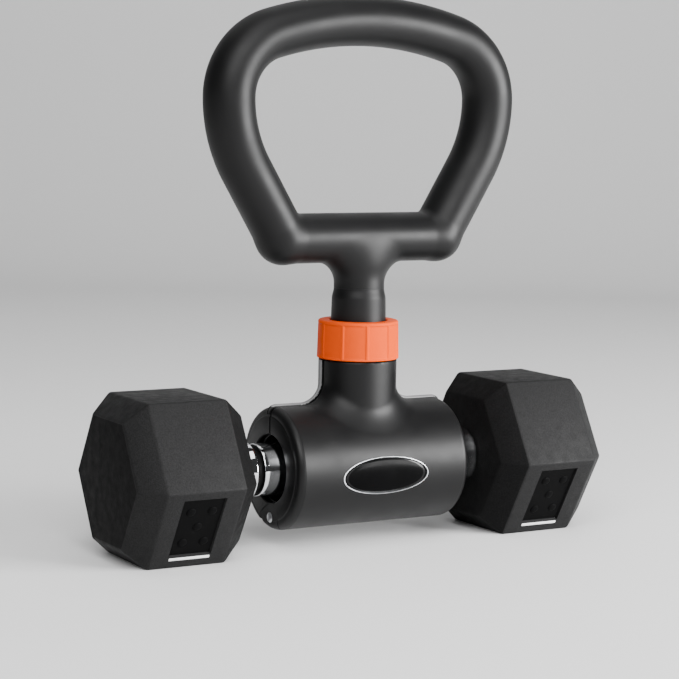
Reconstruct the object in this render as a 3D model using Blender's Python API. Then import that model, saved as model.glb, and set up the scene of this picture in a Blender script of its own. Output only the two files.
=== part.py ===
"""A hex dumbbell turned into a kettlebell by a clamp-on handle.

X runs along the dumbbell's bar, -Y is the front and +Z is up. The origin is under the middle of
the dumbbell, on the surface that its hexagonal heads rest on. Everything is in metres.
"""

import math

import bmesh
import bpy
from mathutils import Matrix, Vector

GAP = 0.0003  # clearance between touching pieces

# Dumbbell
HEX_FLATS = 0.080
HEAD_STRAIGHT = 0.041
HEAD_CHAMFER = 0.011
CHAMFER_SCALE = 0.768
HEAD_FROM = 0.0812  # middle of the bar to the inner edge of a head's straight faces
RUBBER_WALL = 0.004
BAR_Z = HEX_FLATS / 2
BAR_STUB_R = 0.0118
BAR_END_R = 0.0133
BAR_MIDDLE_R = 0.0168
BAR_GRIP_END = 0.054
BAR_GROOVE_END = 0.058
BAR_STUB_END = 0.118
PLAQUE_SIZE = (0.0215, 0.0338, 0.0012)  # along the bar, down the face, deep
PLAQUE_DOWN = 0.0218  # from the face's upper edge to the plaque's middle

# Clamp: two half shells hinged under the bar and held at the neck by a collar
CLAMP_X = 0.005  # the clamp sits a little off the bar's middle
CLAMP_HALF = 0.050
CLAMP_R = 0.031
END_FILLET = 0.0042
END_WALL = 0.0034
MOUTH_R = 0.0173
LINER_R = 0.0192
PARTING = 0.00015
NECK_R = 0.0199
NECK_TOP = 0.0936
NECK_FILLET = 0.012
HINGE_Z = 0.0152
KNUCKLE_R = 0.0060
KNUCKLE_LONG = 0.0046
FRONT_KNUCKLE_HALF = CLAMP_HALF - KNUCKLE_LONG - GAP
END_ROOM_R = 0.0069
SPRING_ROOM_R = 0.0049
SPRING_ROOM_HALF = 0.0405
SPRING_REACH = 0.0385
SPRING_FRONT_LEG = 145  # degrees round the hinge, 90 being straight up
SPRING_REAR_LEG = 35
SCREW_LEVELS = (("upper", 0.0870), ("lower", 0.0780))
OPEN_LIMIT = math.radians(150)  # the shells' backs meet here, just past the hinge's stop

# Stem, collar and handle
STEM_R = 0.0141
STEM_CORE_R = 0.0086
SOCKET_R = 0.0146
THREAD_R = 0.0160
COLLAR_R = 0.0208
COLLAR_BOTTOM = 0.0940
COLLAR_TOP = 0.1133
COLLAR_PANELS = 10
WASHER_BOTTOM = 0.1089
WASHER_TOP = 0.1101
GRIP_IN_PLANE = 0.0125
GRIP_DEPTH = 0.0142
HANDLE_NECK_R = 0.0128
CROSSBAR_Z = 0.1550
LOOP_TOP_Z = 0.2632
FACETS = 40


def clear_scene():
    for obj in list(bpy.data.objects):
        bpy.data.objects.remove(obj, do_unlink=True)


def material(name, colour, roughness, metallic=0.0):
    made = bpy.data.materials.new(name)
    made.use_nodes = True
    shader = made.node_tree.nodes["Principled BSDF"]
    shader.inputs["Base Color"].default_value = (*colour, 1.0)
    shader.inputs["Roughness"].default_value = roughness
    shader.inputs["Metallic"].default_value = metallic
    made.diffuse_color = (*colour, 1.0)
    return made


def materials():
    return {
        "shell": material("black_shell_plastic", (0.030, 0.030, 0.032), 0.42),
        "grip": material("black_grip_plastic", (0.026, 0.026, 0.028), 0.50),
        "liner": material("black_liner_plastic", (0.018, 0.018, 0.020), 0.25),
        "collar": material("orange_collar_plastic", (0.90, 0.17, 0.02), 0.38),
        "badge": material("gloss_black_badge", (0.004, 0.004, 0.004), 0.08),
        "chrome": material("chrome", (0.85, 0.86, 0.88), 0.06, 1.0),
        "steel": material("plain_steel", (0.50, 0.51, 0.53), 0.30, 1.0),
        "spring": material("black_spring_steel", (0.05, 0.05, 0.055), 0.30, 1.0),
        "rubber": material("pebbled_rubber", (0.022, 0.022, 0.023), 0.75),
        "iron": material("cast_iron", (0.10, 0.10, 0.10), 0.60, 1.0),
    }


def object_of(name, mesh_maker, surface=None, warped=False):
    """A new object from a bmesh, with its normals turned out. Without a surface it is a cutter.

    Warped quads are split into triangles, because Booleans need flat faces.
    """
    if warped:
        bmesh.ops.triangulate(mesh_maker, faces=[f for f in mesh_maker.faces if len(f.verts) == 4])
    bmesh.ops.recalc_face_normals(mesh_maker, faces=mesh_maker.faces)
    mesh = bpy.data.meshes.new(name)
    mesh_maker.to_mesh(mesh)
    mesh_maker.free()
    made = bpy.data.objects.new(name, mesh)
    bpy.context.scene.collection.objects.link(made)
    if surface is None:
        made.hide_render = True
        made.display_type = "WIRE"
    else:
        mesh.materials.append(surface)
        mesh.shade_smooth()
        mesh.set_sharp_from_angle(angle=math.radians(35))
    return made


def combine(target, other, operation):
    """A Boolean step. The shells need the manifold solver: the exact one leaves open edges in them."""
    step = target.modifiers.new(f"{operation.lower()} {other.name}", "BOOLEAN")
    step.operation = operation
    step.object = other
    step.solver = "MANIFOLD" if target.name.endswith("shell") else "EXACT"


def cut(target, *cutters):
    for cutter in cutters:
        combine(target, cutter, "DIFFERENCE")


def join(target, *pieces):
    for piece in pieces:
        combine(target, piece, "UNION")


def skin(maker, rings, closed=False):
    """Faces between rings of equal length, where a ring of one vertex is a point on the axis."""
    pairs = list(zip(rings, rings[1:]))
    if closed:
        pairs.append((rings[-1], rings[0]))
    for low, high in pairs:
        count = max(len(low), len(high))
        for i in range(count):
            j = (i + 1) % count
            corners = [low[i % len(low)], low[j % len(low)], high[j % len(high)], high[i % len(high)]]
            unique = list(dict.fromkeys(corners))
            maker.faces.new(unique)


def cap(maker, ring):
    maker.faces.new(ring)


def turned(name, profile, along, centre=(0, 0, 0), surface=None, facets=FACETS, hollow=False):
    """A turned solid. The profile is (place on the axis, radius) pairs, closed on itself if hollow."""
    maker = bmesh.new()
    rings = []
    for place, radius in profile:
        count = facets if radius > 0 else 1
        ring = []
        for i in range(count):
            angle = 2 * math.pi * i / facets
            u, v = radius * math.cos(angle), radius * math.sin(angle)
            point = {"X": (place, u, v), "Y": (v, place, u), "Z": (u, v, place)}[along]
            ring.append(maker.verts.new(Vector(point) + Vector(centre)))
        rings.append(ring)
    skin(maker, rings, closed=hollow)
    return object_of(name, maker, surface)


def rod(name, low, high, radius, along, centre, surface=None, facets=24):
    return turned(name, [(low, 0), (low, radius), (high, radius), (high, 0)], along, centre, surface, facets)


def tube(name, low, high, inner, outer, along, centre, surface=None, facets=FACETS):
    profile = [(low, inner), (low, outer), (high, outer), (high, inner)]
    return turned(name, profile, along, centre, surface, facets, hollow=True)


def box(name, low, high, surface=None):
    maker = bmesh.new()
    bmesh.ops.create_cube(maker, size=1)
    size = [b - a for a, b in zip(low, high)]
    middle = [(a + b) / 2 for a, b in zip(low, high)]
    place = Matrix.Translation(middle) @ Matrix.Diagonal((*size, 1))
    bmesh.ops.transform(maker, matrix=place, verts=maker.verts)
    return object_of(name, maker, surface)


def prism(name, outline, low, high, along):
    """An outline of (x, z) points run along Y, or of (y, z) points run along X."""
    maker = bmesh.new()
    rings = []
    for depth in (low, high):
        corners = [(a, depth, z) if along == "Y" else (depth, a, z) for a, z in outline]
        rings.append([maker.verts.new(corner) for corner in corners])
    skin(maker, rings)
    for ring in rings:
        cap(maker, ring)
    return object_of(name, maker)


def ring_sector(name, x_range, radii, angles, facets=8):
    """A cutter for the hollow in a barrel wall: part of a ring about the bar's axis."""
    maker = bmesh.new()
    rings = []
    for i in range(facets + 1):
        angle = angles[0] + (angles[1] - angles[0]) * i / facets
        ring = []
        low_x, high_x = x_range
        inner_r, outer_r = radii
        for x, r in ((low_x, inner_r), (high_x, inner_r), (high_x, outer_r), (low_x, outer_r)):
            ring.append(maker.verts.new((x, r * math.cos(angle), BAR_Z + r * math.sin(angle))))
        rings.append(ring)
    skin(maker, rings)
    cap(maker, rings[0])
    cap(maker, rings[-1])
    return object_of(name, maker)


def oval_loft(name, sections, surface=None, facets=32):
    """Ovals stacked up the clamp's upright axis. Each section is (z, half width in x, half width in y)."""
    maker = bmesh.new()
    rings = []
    for z, half_x, half_y in sections:
        angles = [2 * math.pi * i / facets for i in range(facets)]
        ring = [(CLAMP_X + half_x * math.cos(a), half_y * math.sin(a), z) for a in angles]
        rings.append([maker.verts.new(point) for point in ring])
    skin(maker, rings)
    cap(maker, rings[0])
    cap(maker, rings[-1])
    return object_of(name, maker, surface, warped=True)


# ---------------------------------------------------------------- dumbbell


def hexagon(x, flats, middle_z=BAR_Z):
    """The six corners of a hexagon across the bar, with a flat side down."""
    corner_r = flats / math.sqrt(3)
    angles = [math.radians(60 * i) for i in range(6)]
    return [(x, corner_r * math.cos(a), middle_z + corner_r * math.sin(a)) for a in angles]


def hex_solid(name, stations, surface=None):
    """A hexagonal solid whose stations are (x, distance across flats)."""
    maker = bmesh.new()
    rings = [[maker.verts.new(point) for point in hexagon(x, flats)] for x, flats in stations]
    skin(maker, rings)
    cap(maker, rings[0])
    cap(maker, rings[-1])
    return object_of(name, maker, surface)


def head_stations(side, wall):
    """Where a head changes section, from its inner face to its outer one, a wall inside the rubber."""
    inner, outer = HEAD_FROM, HEAD_FROM + HEAD_STRAIGHT
    small = HEX_FLATS * CHAMFER_SCALE
    stations = [
        (inner - HEAD_CHAMFER + wall, small - wall),
        (inner + wall / 2, HEX_FLATS - 2 * wall),
        (outer - wall / 2, HEX_FLATS - 2 * wall),
        (outer + HEAD_CHAMFER - wall, small - wall),
    ]
    return [(side * x, flats) for x, flats in stations]


def plaque_cutter(name, side):
    """A shallow box lying on the head's lower front face, which slopes 30 degrees from upright."""
    length, height, depth = PLAQUE_SIZE
    corner_r = HEX_FLATS / math.sqrt(3)
    maker = bmesh.new()
    bmesh.ops.create_cube(maker, size=1)
    down = Vector((0, math.sin(math.radians(30)), -math.cos(math.radians(30))))
    outward = Vector((0, -math.cos(math.radians(30)), -math.sin(math.radians(30))))
    turn = Matrix((Vector((1, 0, 0)), outward, down)).transposed().to_4x4()
    middle = Vector((side * (HEAD_FROM + HEAD_STRAIGHT / 2), -corner_r, BAR_Z)) + down * PLAQUE_DOWN
    place = Matrix.Translation(middle) @ turn @ Matrix.Diagonal((length, 2 * depth, height, 1))
    bmesh.ops.transform(maker, matrix=place, verts=maker.verts)
    return object_of(name, maker)


def bar_radius(x):
    """The bar swells from its ends to a thicker middle."""
    flat_middle, full_taper = 0.022, 0.030
    share = min(max((abs(x) - flat_middle) / full_taper, 0), 1)
    blend = share * share * (3 - 2 * share)
    return BAR_MIDDLE_R + (BAR_END_R - BAR_MIDDLE_R) * blend


def dumbbell_bar(surface):
    groove_r = 0.0112
    steps = 12
    grip = [-BAR_GRIP_END + 2 * BAR_GRIP_END * i / steps for i in range(steps + 1)]
    right_end = [
        (BAR_GRIP_END + 0.0005, groove_r),
        (BAR_GROOVE_END - GAP, groove_r),
        (BAR_GROOVE_END - GAP, BAR_STUB_R),
        (BAR_STUB_END, BAR_STUB_R),
        (BAR_STUB_END, 0),
    ]
    left_end = [(-x, r) for x, r in reversed(right_end)]
    profile = left_end + [(x, bar_radius(x)) for x in grip] + right_end
    bar = turned("dumbbell_bar", profile, "X", (0, 0, BAR_Z), surface, 32)
    for side in (-1, 1):
        cut(bar, drive_pin_hole(f"bar_pin_hole_{side}", side))
    return bar


def drive_pin_hole(name, side):
    return rod(name, -0.020, 0.0255, 0.0028, "Z", (side * 0.100, 0, BAR_Z), facets=16)


def dumbbell_head(side, word, surfaces):
    centre = (0, 0, BAR_Z)
    core = hex_solid(f"{word}_iron_core", head_stations(side, RUBBER_WALL + GAP), surfaces["iron"])
    inner_x = HEAD_FROM - HEAD_CHAMFER
    bore_low, bore_high = sorted((side * (inner_x - 0.002), side * (BAR_STUB_END + GAP)))
    cut(core, rod(f"{word}_core_bore", bore_low, bore_high, BAR_STUB_R + GAP, "X", centre, facets=32))
    cut(core, drive_pin_hole(f"{word}_core_pin_hole", side))

    cover = hex_solid(f"{word}_rubber_head", head_stations(side, 0), surfaces["rubber"])
    cut(cover, hex_solid(f"{word}_core_room", head_stations(side, RUBBER_WALL)))
    mouth_low, mouth_high = sorted((side * (inner_x - 0.002), side * (inner_x + 0.010)))
    cut(cover, rod(f"{word}_head_mouth", mouth_low, mouth_high, BAR_STUB_R + 2 * GAP, "X", centre, facets=32))
    cut(cover, plaque_cutter(f"{word}_plaque_cutter", side))

    ring_profile = [
        (BAR_GROOVE_END, BAR_STUB_R + GAP),
        (BAR_GROOVE_END, 0.0136),
        (BAR_GROOVE_END + 0.0014, 0.0146),
        (BAR_GROOVE_END + 0.0070, 0.0140),
        (inner_x - GAP, 0.0146),
        (inner_x - GAP, BAR_STUB_R + GAP),
    ]
    profile = [(side * x, r) for x, r in ring_profile]
    turned(f"{word}_bar_collar", profile, "X", centre, surfaces["chrome"], 32, hollow=True)
    pin_place = (side * 0.100, 0, BAR_Z)
    rod(f"{word}_drive_pin", -0.0195, 0.025, 0.0025, "Z", pin_place, surfaces["steel"], 16)


# ---------------------------------------------------------------- clamp shells


def barrel_profile():
    flat_r = CLAMP_R - END_FILLET
    steps = 4
    left = [(-CLAMP_HALF, 0)]
    for i in range(steps + 1):
        angle = math.pi / 2 * i / steps
        x = -CLAMP_HALF + END_FILLET * (1 - math.sin(angle))
        left.append((x, flat_r + END_FILLET * math.cos(angle)))
    left[1:] = left[:0:-1]
    return left + [(-x, r) for x, r in reversed(left)]


def neck_sections():
    """The neck flows into the barrel: a full fillet along the bar and a slight one to the front."""
    start_z = CLAMP_R + BAR_Z + NECK_FILLET
    sections = [
        (0.050, 0.020, 0.020),
        (0.060, 0.026, 0.0222),
        (0.064, 0.0300, 0.0212),
        (0.068, 0.0314, 0.0204),
    ]
    for degrees in (80, 64, 48, 32, 16, 0):
        angle = math.radians(degrees)
        half_x = NECK_R + NECK_FILLET * (1 - math.cos(angle))
        sections.append((start_z - NECK_FILLET * math.sin(angle), half_x, NECK_R + 0.0002 * degrees / 80))
    sections.append((NECK_TOP - 0.0006, NECK_R, NECK_R))
    sections.append((NECK_TOP, NECK_R - 0.0006, NECK_R - 0.0006))
    return sections


def from_hinge(distance, degrees):
    """A (y, z) place at a distance and an angle from the hinge's axis, 90 degrees being straight up."""
    angle = math.radians(degrees)
    return distance * math.cos(angle), HINGE_Z + distance * math.sin(angle)


def hinge_rod(name, x_low, x_high, radius, facets=32):
    return rod(name, CLAMP_X + x_low, CLAMP_X + x_high, radius, "X", (0, 0, HINGE_Z), facets=facets)


def neck_pocket_outline(side):
    """The open pocket between the neck's socket and its flared wall."""
    points = [
        (0.0182, 0.0640), (0.0182, 0.0765), (0.0212, 0.0722),
        (0.0262, 0.0690), (0.0330, 0.0680), (0.0330, 0.0640),
    ]
    return [(CLAMP_X + side * x, z) for x, z in points]


def half_body(word, front, surface):
    """The solid barrel and neck on one side of the parting plane, -1 being the front."""
    shell = turned(f"{word}_shell", barrel_profile(), "X", (CLAMP_X, 0, BAR_Z), surface, 44)
    join(shell, oval_loft(f"{word}_neck", neck_sections()))
    far = 0.05
    low_y, high_y = sorted((front * PARTING, -front * far))
    cut(shell, box(f"{word}_half_cutter", (-far - 0.01, low_y, 0), (far + 0.02, high_y, 0.11)))
    return shell


def hollow_out(shell, word, front):
    """The bore with its liner seat, the stem's socket, and the rooms that thin the walls."""
    seat = CLAMP_HALF - END_WALL
    bore = [(seat, LINER_R + GAP), (seat, MOUTH_R), (0.06, MOUTH_R), (0.06, 0)]
    bore = [(-x, r) for x, r in reversed(bore)] + bore
    cut(shell, turned(f"{word}_bore", bore, "X", (CLAMP_X, 0, BAR_Z)))
    loose = 0 if front < 0 else 0.0006
    socket_r, groove_r = SOCKET_R + loose, 0.0176 + loose
    socket = [
        (0.055, 0), (0.055, socket_r), (0.0650 - loose, socket_r), (0.0650 - loose, groove_r),
        (0.0706 + loose, groove_r), (0.0706 + loose, socket_r), (0.10, socket_r), (0.10, 0),
    ]
    cut(shell, turned(f"{word}_socket", socket, "Z", (CLAMP_X, 0, 0), facets=32))
    for side, side_word in ((-1, "left"), (1, "right")):
        low_y, high_y = sorted((-front * 0.001, front * 0.0090))
        cut(shell, prism(f"{word}_{side_word}_neck_pocket", neck_pocket_outline(side), low_y, high_y, "Y"))
        for place, near, reach in (("inner", 0.0185, 0.0315), ("outer", 0.0335, 0.0448)):
            x_range = sorted((CLAMP_X + side * near, CLAMP_X + side * reach))
            angles = [math.radians(90 + front * 2), math.radians(90 - front * 98)]
            cut(shell, ring_sector(f"{word}_{side_word}_{place}_room", x_range, (0.0212, 0.0286), angles))


def spring_leg_room():
    """The slot in the front shell that holds the spring's fixed leg."""
    maker = bmesh.new()
    bmesh.ops.create_cube(maker, size=1)
    y, z = from_hinge(0.0075, SPRING_FRONT_LEG)
    turn = Matrix.Rotation(math.radians(SPRING_FRONT_LEG), 4, "X")
    size = Matrix.Diagonal((0.0024, 0.0082, 0.0024, 1))
    place = Matrix.Translation((CLAMP_X - SPRING_REACH, y, z)) @ turn @ size
    bmesh.ops.transform(maker, matrix=place, verts=maker.verts)
    return object_of("spring_leg_room", maker)


def cut_knuckle_rooms(piece, word):
    """Makes room in a front piece for the rear shell's end knuckles to turn in."""
    for side in (-1, 1):
        low, high = sorted((side * FRONT_KNUCKLE_HALF, side * (CLAMP_HALF + 0.001)))
        cut(piece, hinge_rod(f"{word}_knuckle_room", low, high, END_ROOM_R))


def front_shell(surface):
    """The half that carries the handle. Its lower edge is a long knuckle round the spring."""
    shell = half_body("front", -1, surface)
    join(shell, hinge_rod("front_knuckle", -FRONT_KNUCKLE_HALF, FRONT_KNUCKLE_HALF, KNUCKLE_R))
    cut_knuckle_rooms(shell, "shell")
    hollow_out(shell, "front", -1)
    cut(shell, hinge_rod("spring_room", -SPRING_ROOM_HALF, SPRING_ROOM_HALF, SPRING_ROOM_R))
    for word, low_y, high_y, low_z in (("throat", -0.0026, 0.0001, 0.0180), ("opening", 0, 0.0070, HINGE_Z)):
        low = (CLAMP_X - SPRING_ROOM_HALF, low_y, low_z)
        cut(shell, box(f"spring_{word}", low, (CLAMP_X + SPRING_ROOM_HALF, high_y, 0.0230)))
    cut(shell, spring_leg_room())
    cut(shell, hinge_rod("front_pin_hole", -0.06, 0.06, 0.0026, 24))
    for word, z in SCREW_LEVELS:
        cut(shell, rod(f"front_{word}_screw_hole", -0.0188, 0, 0.0018, "Y", (CLAMP_X, 0, z), facets=16))
    cut(shell, badge_solid("badge_recess", 0.0294, 0.034, 1.0, 0.0))
    return shell


def back_relief(word):
    """Clears the swinging half of the front one's round back, as it lies when the clamp is open."""
    swing = OPEN_LIMIT + math.pi / 2
    drop = BAR_Z - HINGE_Z
    centre = (CLAMP_X, drop * math.cos(swing), HINGE_Z + drop * math.sin(swing))
    return rod(f"{word}_back_relief", -0.06, 0.06, CLAMP_R + 0.0004, "X", centre, facets=48)


def knuckle_bridge_outline():
    """The web between an end knuckle and the rear shell's end wall, clear of the bar's mouth."""
    reach = [
        (0.0030, 27), (0.0090, 27), (0.0090, 45), (0.0082, 60),
        (0.00745, 75), (0.0073, 87), (0.0030, 87),
    ]
    return [from_hinge(distance, degrees) for distance, degrees in reach]


def rear_shell(surface):
    """The half that swings away. A knuckle at each end holds the pin."""
    shell = half_body("rear", 1, surface)
    cut(shell, back_relief("shell"))
    inner, outer = CLAMP_HALF - KNUCKLE_LONG, CLAMP_HALF - 0.0004
    profile = [
        (inner, 0), (inner, KNUCKLE_R), (inner + 0.0021, KNUCKLE_R - 0.0003), (outer - 0.0006, 0.0047),
        (outer, 0.0040), (outer, 0),
    ]
    for side, word in ((-1, "left"), (1, "right")):
        low, high = sorted((side * inner, side * outer))
        outline = knuckle_bridge_outline()
        join(shell, prism(f"rear_{word}_bridge", outline, CLAMP_X + low, CLAMP_X + high, "X"))
        ends = [(side * x, r) for x, r in profile]
        join(shell, turned(f"rear_{word}_knuckle", ends, "X", (CLAMP_X, 0, HINGE_Z), facets=32))
    hollow_out(shell, "rear", 1)
    for side, word in ((-1, "left"), (1, "right")):
        low, high = sorted((side * (CLAMP_HALF - 0.0023), side * (CLAMP_HALF + 0.001)))
        cut(shell, hinge_rod(f"rear_{word}_screw_seat", low, high, 0.0030, 24))
    cut(shell, hinge_rod("rear_pin_hole", -0.06, 0.06, 0.0026, 24))
    return shell


def liner(word, front, surface):
    """The smooth half trough that grips the bar."""
    long = CLAMP_HALF - END_WALL - GAP
    piece = tube(f"{word}_liner", -long, long, MOUTH_R - 0.0001, LINER_R, "X", (CLAMP_X, 0, BAR_Z), surface)
    low_y, high_y = sorted((front * 2 * PARTING, -front * 0.05))
    cut(piece, box(f"{word}_liner_cutter", (-0.06, low_y, 0), (0.07, high_y, 0.08)))
    if front > 0:
        cut(piece, back_relief("liner"))
    else:
        cut_knuckle_rooms(piece, "liner")


def badge_solid(name, inner_r, outer_r, outer_share, inner_share, surface=None):
    """A thin oval that follows the barrel's front. Shares above 0 for the inside leave a rim."""
    half_wide, half_arc, tilt = 0.0249, 0.0097, math.radians(-4)
    facets, steps = 32, 1 if inner_share > 0 else 3
    shares = [inner_share + (outer_share - inner_share) * i / steps for i in range(steps + 1)]
    maker = bmesh.new()
    layers = []
    for radius in (inner_r, outer_r):
        rings = []
        for share in shares:
            ring = []
            for i in range(facets if share > 0 else 1):
                angle = 2 * math.pi * i / facets
                lift = share * half_arc * math.sin(angle) / CLAMP_R + tilt
                x = CLAMP_X + share * half_wide * math.cos(angle)
                ring.append(maker.verts.new((x, -radius * math.cos(lift), BAR_Z + radius * math.sin(lift))))
            rings.append(ring)
        layers.append(rings)
    under, over = layers
    skin(maker, under + over[::-1], closed=inner_share > 0)
    return object_of(name, maker, surface, warped=True)


# ---------------------------------------------------------------- hinge, spring and screws


def hinge_pin(surface):
    half = CLAMP_HALF - 0.0026
    pin = rod("hinge_pin", CLAMP_X - half, CLAMP_X + half, 0.0024, "X", (0, 0, HINGE_Z), surface)
    for side in (-1, 1):
        low, high = sorted((side * (half - 0.006), side * (half + 0.001)))
        cut(pin, hinge_rod(f"pin_thread_hole_{side}", low, high, 0.0015, 16))


def pin_screw(side, word, surface):
    """The cross-slotted screw that closes one end of the hinge pin."""
    seat, face = CLAMP_HALF - 0.0022, CLAMP_HALF - 0.0002
    profile = [
        (0.0425, 0), (0.0425, 0.0012), (seat, 0.0012),
        (seat, 0.0026), (face, 0.0026), (face + 0.0002, 0),
    ]
    screw = turned(
        f"{word}_pin_screw", [(side * x, r) for x, r in profile], "X", (CLAMP_X, 0, HINGE_Z), surface, 24
    )
    low, high = sorted((side * (face - 0.0009), side * (face + 0.002)))
    for turn, half_y, half_z in (("flat", 0.0017, 0.0004), ("upright", 0.0004, 0.0017)):
        corner_low = (CLAMP_X + low, -half_y, HINGE_Z - half_z)
        corner_high = (CLAMP_X + high, half_y, HINGE_Z + half_z)
        cut(screw, box(f"{word}_pin_{turn}_slot", corner_low, corner_high))


def anchor_screw(word, z, surface):
    """The screw that ties the stem to the front shell's neck."""
    profile = [
        (-0.0182, 0), (-0.0182, 0.0014), (0.0090, 0.0014),
        (0.0090, 0.0034), (0.0118, 0.0034), (0.0118, 0),
    ]
    screw = turned(f"{word}_anchor_screw", profile, "Y", (CLAMP_X, 0, z), surface, 20)
    low, high = (CLAMP_X - 0.0005, 0.0105, z - 0.004), (CLAMP_X + 0.0005, 0.013, z + 0.004)
    cut(screw, box(f"{word}_anchor_slot", low, high))


def torsion_spring(surface):
    """A coil along the hinge pin. One leg is held by the front shell, the other bears on the rear one."""
    turns, per_turn, mean_r, wire_r = 12, 10, 0.0038, 0.0008
    first, last = math.radians(SPRING_FRONT_LEG), math.radians(SPRING_REAR_LEG)
    sweep = 2 * math.pi * turns + (last - first)
    count = turns * per_turn
    points = [(-SPRING_REACH, *from_hinge(far, SPRING_FRONT_LEG)) for far in (0.0106, 0.0070)]
    for i in range(count + 1):
        share = i / count
        y, z = from_hinge(mean_r, math.degrees(first + sweep * share))
        points.append((SPRING_REACH * (2 * share - 1), y, z))
    points.append((SPRING_REACH, *from_hinge(0.0058, SPRING_REAR_LEG)))
    curve = bpy.data.curves.new("torsion_spring", "CURVE")
    curve.dimensions = "3D"
    curve.bevel_depth = wire_r
    curve.bevel_resolution = 1
    curve.use_fill_caps = True
    line = curve.splines.new("POLY")
    line.points.add(len(points) - 1)
    for point, place in zip(line.points, points):
        point.co = (CLAMP_X + place[0], place[1], place[2], 1)
    curve.materials.append(surface)
    made = bpy.data.objects.new("torsion_spring", curve)
    bpy.context.scene.collection.objects.link(made)


# ---------------------------------------------------------------- stem and collar


def stem_cross_cuts(piece, word):
    for level, z in SCREW_LEVELS:
        place = (CLAMP_X, 0, z)
        cut(piece, rod(f"{word}_{level}_screw_way", -0.02, 0.02, 0.0018, "Y", place, facets=16))
        cut(piece, rod(f"{word}_{level}_head_way", 0.0086, 0.02, 0.0038, "Y", place, facets=20))


def stem_sleeve(surface):
    """The tube between the handle and the clamp: cone, plain length, collar thread and end flange."""
    inner = STEM_CORE_R + GAP
    profile = [
        (0.0630, inner), (0.0630, STEM_R), (0.0653, STEM_R), (0.0653, 0.0172), (0.0702, 0.0172),
        (0.0702, STEM_R), (COLLAR_BOTTOM, STEM_R), (COLLAR_BOTTOM + GAP, THREAD_R - 0.0006),
        (COLLAR_BOTTOM + 0.0012, THREAD_R), (0.1078, THREAD_R), (0.1085, STEM_R),
        (0.1250, 0.0137), (0.1292, 0.0129), (0.1292, inner),
    ]
    sleeve = turned("stem_sleeve", profile, "Z", (CLAMP_X, 0, 0), surface, 28, hollow=True)
    stem_cross_cuts(sleeve, "sleeve")


def stem_core(surface):
    core = tube("stem_core", 0.0600, 0.1515, 0.0060, STEM_CORE_R, "Z", (CLAMP_X, 0, 0), surface, 24)
    stem_cross_cuts(core, "core")


def lock_collar(surface):
    """The ring nut, with ten flat finger panels round it."""
    rim_low, rim_high = COLLAR_BOTTOM + 0.0018, COLLAR_TOP - 0.0026
    bore, neck_bore = THREAD_R + 0.0004, STEM_R + 0.0005
    profile = [
        (COLLAR_BOTTOM, bore), (COLLAR_BOTTOM, COLLAR_R - 0.0006), (COLLAR_BOTTOM + 0.0006, COLLAR_R),
        (COLLAR_TOP - 0.0012, COLLAR_R), (COLLAR_TOP - 0.0004, COLLAR_R - 0.0003),
        (COLLAR_TOP, COLLAR_R - 0.0013), (COLLAR_TOP, neck_bore), (0.1105, neck_bore), (0.1105, bore),
    ]
    collar = turned("lock_collar", profile, "Z", (CLAMP_X, 0, 0), surface, 40, hollow=True)
    turned_by = 2 * math.pi / COLLAR_PANELS
    for i in range(COLLAR_PANELS):
        maker = bmesh.new()
        bmesh.ops.create_cube(maker, size=1)
        angle = (i + 0.5) * turned_by
        flat_r = COLLAR_R * math.cos(turned_by / 2) + 0.0004
        size = Matrix.Diagonal((0.004, 0.0108, rim_high - rim_low, 1))
        push = Matrix.Translation((flat_r + 0.002, 0, (rim_low + rim_high) / 2))
        place = Matrix.Translation((CLAMP_X, 0, 0)) @ Matrix.Rotation(angle, 4, "Z") @ push @ size
        bmesh.ops.transform(maker, matrix=place, verts=maker.verts)
        cut(collar, object_of(f"collar_panel_cutter_{i}", maker))


def collar_washer(surface):
    inner_r, outer_r = STEM_R + 2 * GAP, THREAD_R + GAP / 3
    tube("collar_washer", WASHER_BOTTOM, WASHER_TOP, inner_r, outer_r, "Z", (CLAMP_X, 0, 0), surface, 32)


# ---------------------------------------------------------------- handle


def loop_half():
    """Points and headings from the loop's top middle down its left arm, as arcs and a straight."""
    arcs = [(0.1820, 196.5, 5), (0.0325, 270.0, 7), (0.0690, 301.0, 4)]
    x, z, heading = 0.0, LOOP_TOP_Z, 180.0
    points = [(x, z, heading)]
    for radius, end_heading, steps in arcs:
        turn = (end_heading - heading) / steps
        for _ in range(steps):
            chord = 2 * radius * math.sin(math.radians(turn / 2))
            middle = math.radians(heading + turn / 2)
            x += chord * math.cos(middle)
            z += chord * math.sin(middle)
            heading += turn
            points.append((x, z, heading))
    slope = math.radians(heading)
    straight = (z - CROSSBAR_Z) / -math.sin(slope)
    points.append((x + straight * math.cos(slope), CROSSBAR_Z, heading))
    return points


def grip_ring(maker, x, z, heading, facets=18):
    """An oval across the loop's path, wider to the front and back than in the loop's plane."""
    across = Vector((-math.sin(math.radians(heading)), 0, math.cos(math.radians(heading))))
    ring = []
    for i in range(facets):
        angle = 2 * math.pi * i / facets
        offset = across * (GRIP_IN_PLANE * math.cos(angle)) + Vector((0, GRIP_DEPTH * math.sin(angle), 0))
        ring.append(maker.verts.new(Vector((CLAMP_X + x, 0, z)) + offset))
    return ring


def swept_grip(name, stations, surface=None):
    maker = bmesh.new()
    rings = [grip_ring(maker, *station) for station in stations]
    skin(maker, rings)
    cap(maker, rings[0])
    cap(maker, rings[-1])
    return object_of(name, maker, surface, warped=True)


def corner_ball(name, x):
    maker = bmesh.new()
    bmesh.ops.create_uvsphere(maker, u_segments=18, v_segments=10, radius=1)
    size = Matrix.Diagonal((GRIP_IN_PLANE * 1.012, GRIP_DEPTH * 1.006, GRIP_IN_PLANE * 1.012, 1))
    place = Matrix.Translation((CLAMP_X + x, 0, CROSSBAR_Z)) @ size
    bmesh.ops.transform(maker, matrix=place, verts=maker.verts)
    return object_of(name, maker)


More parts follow.
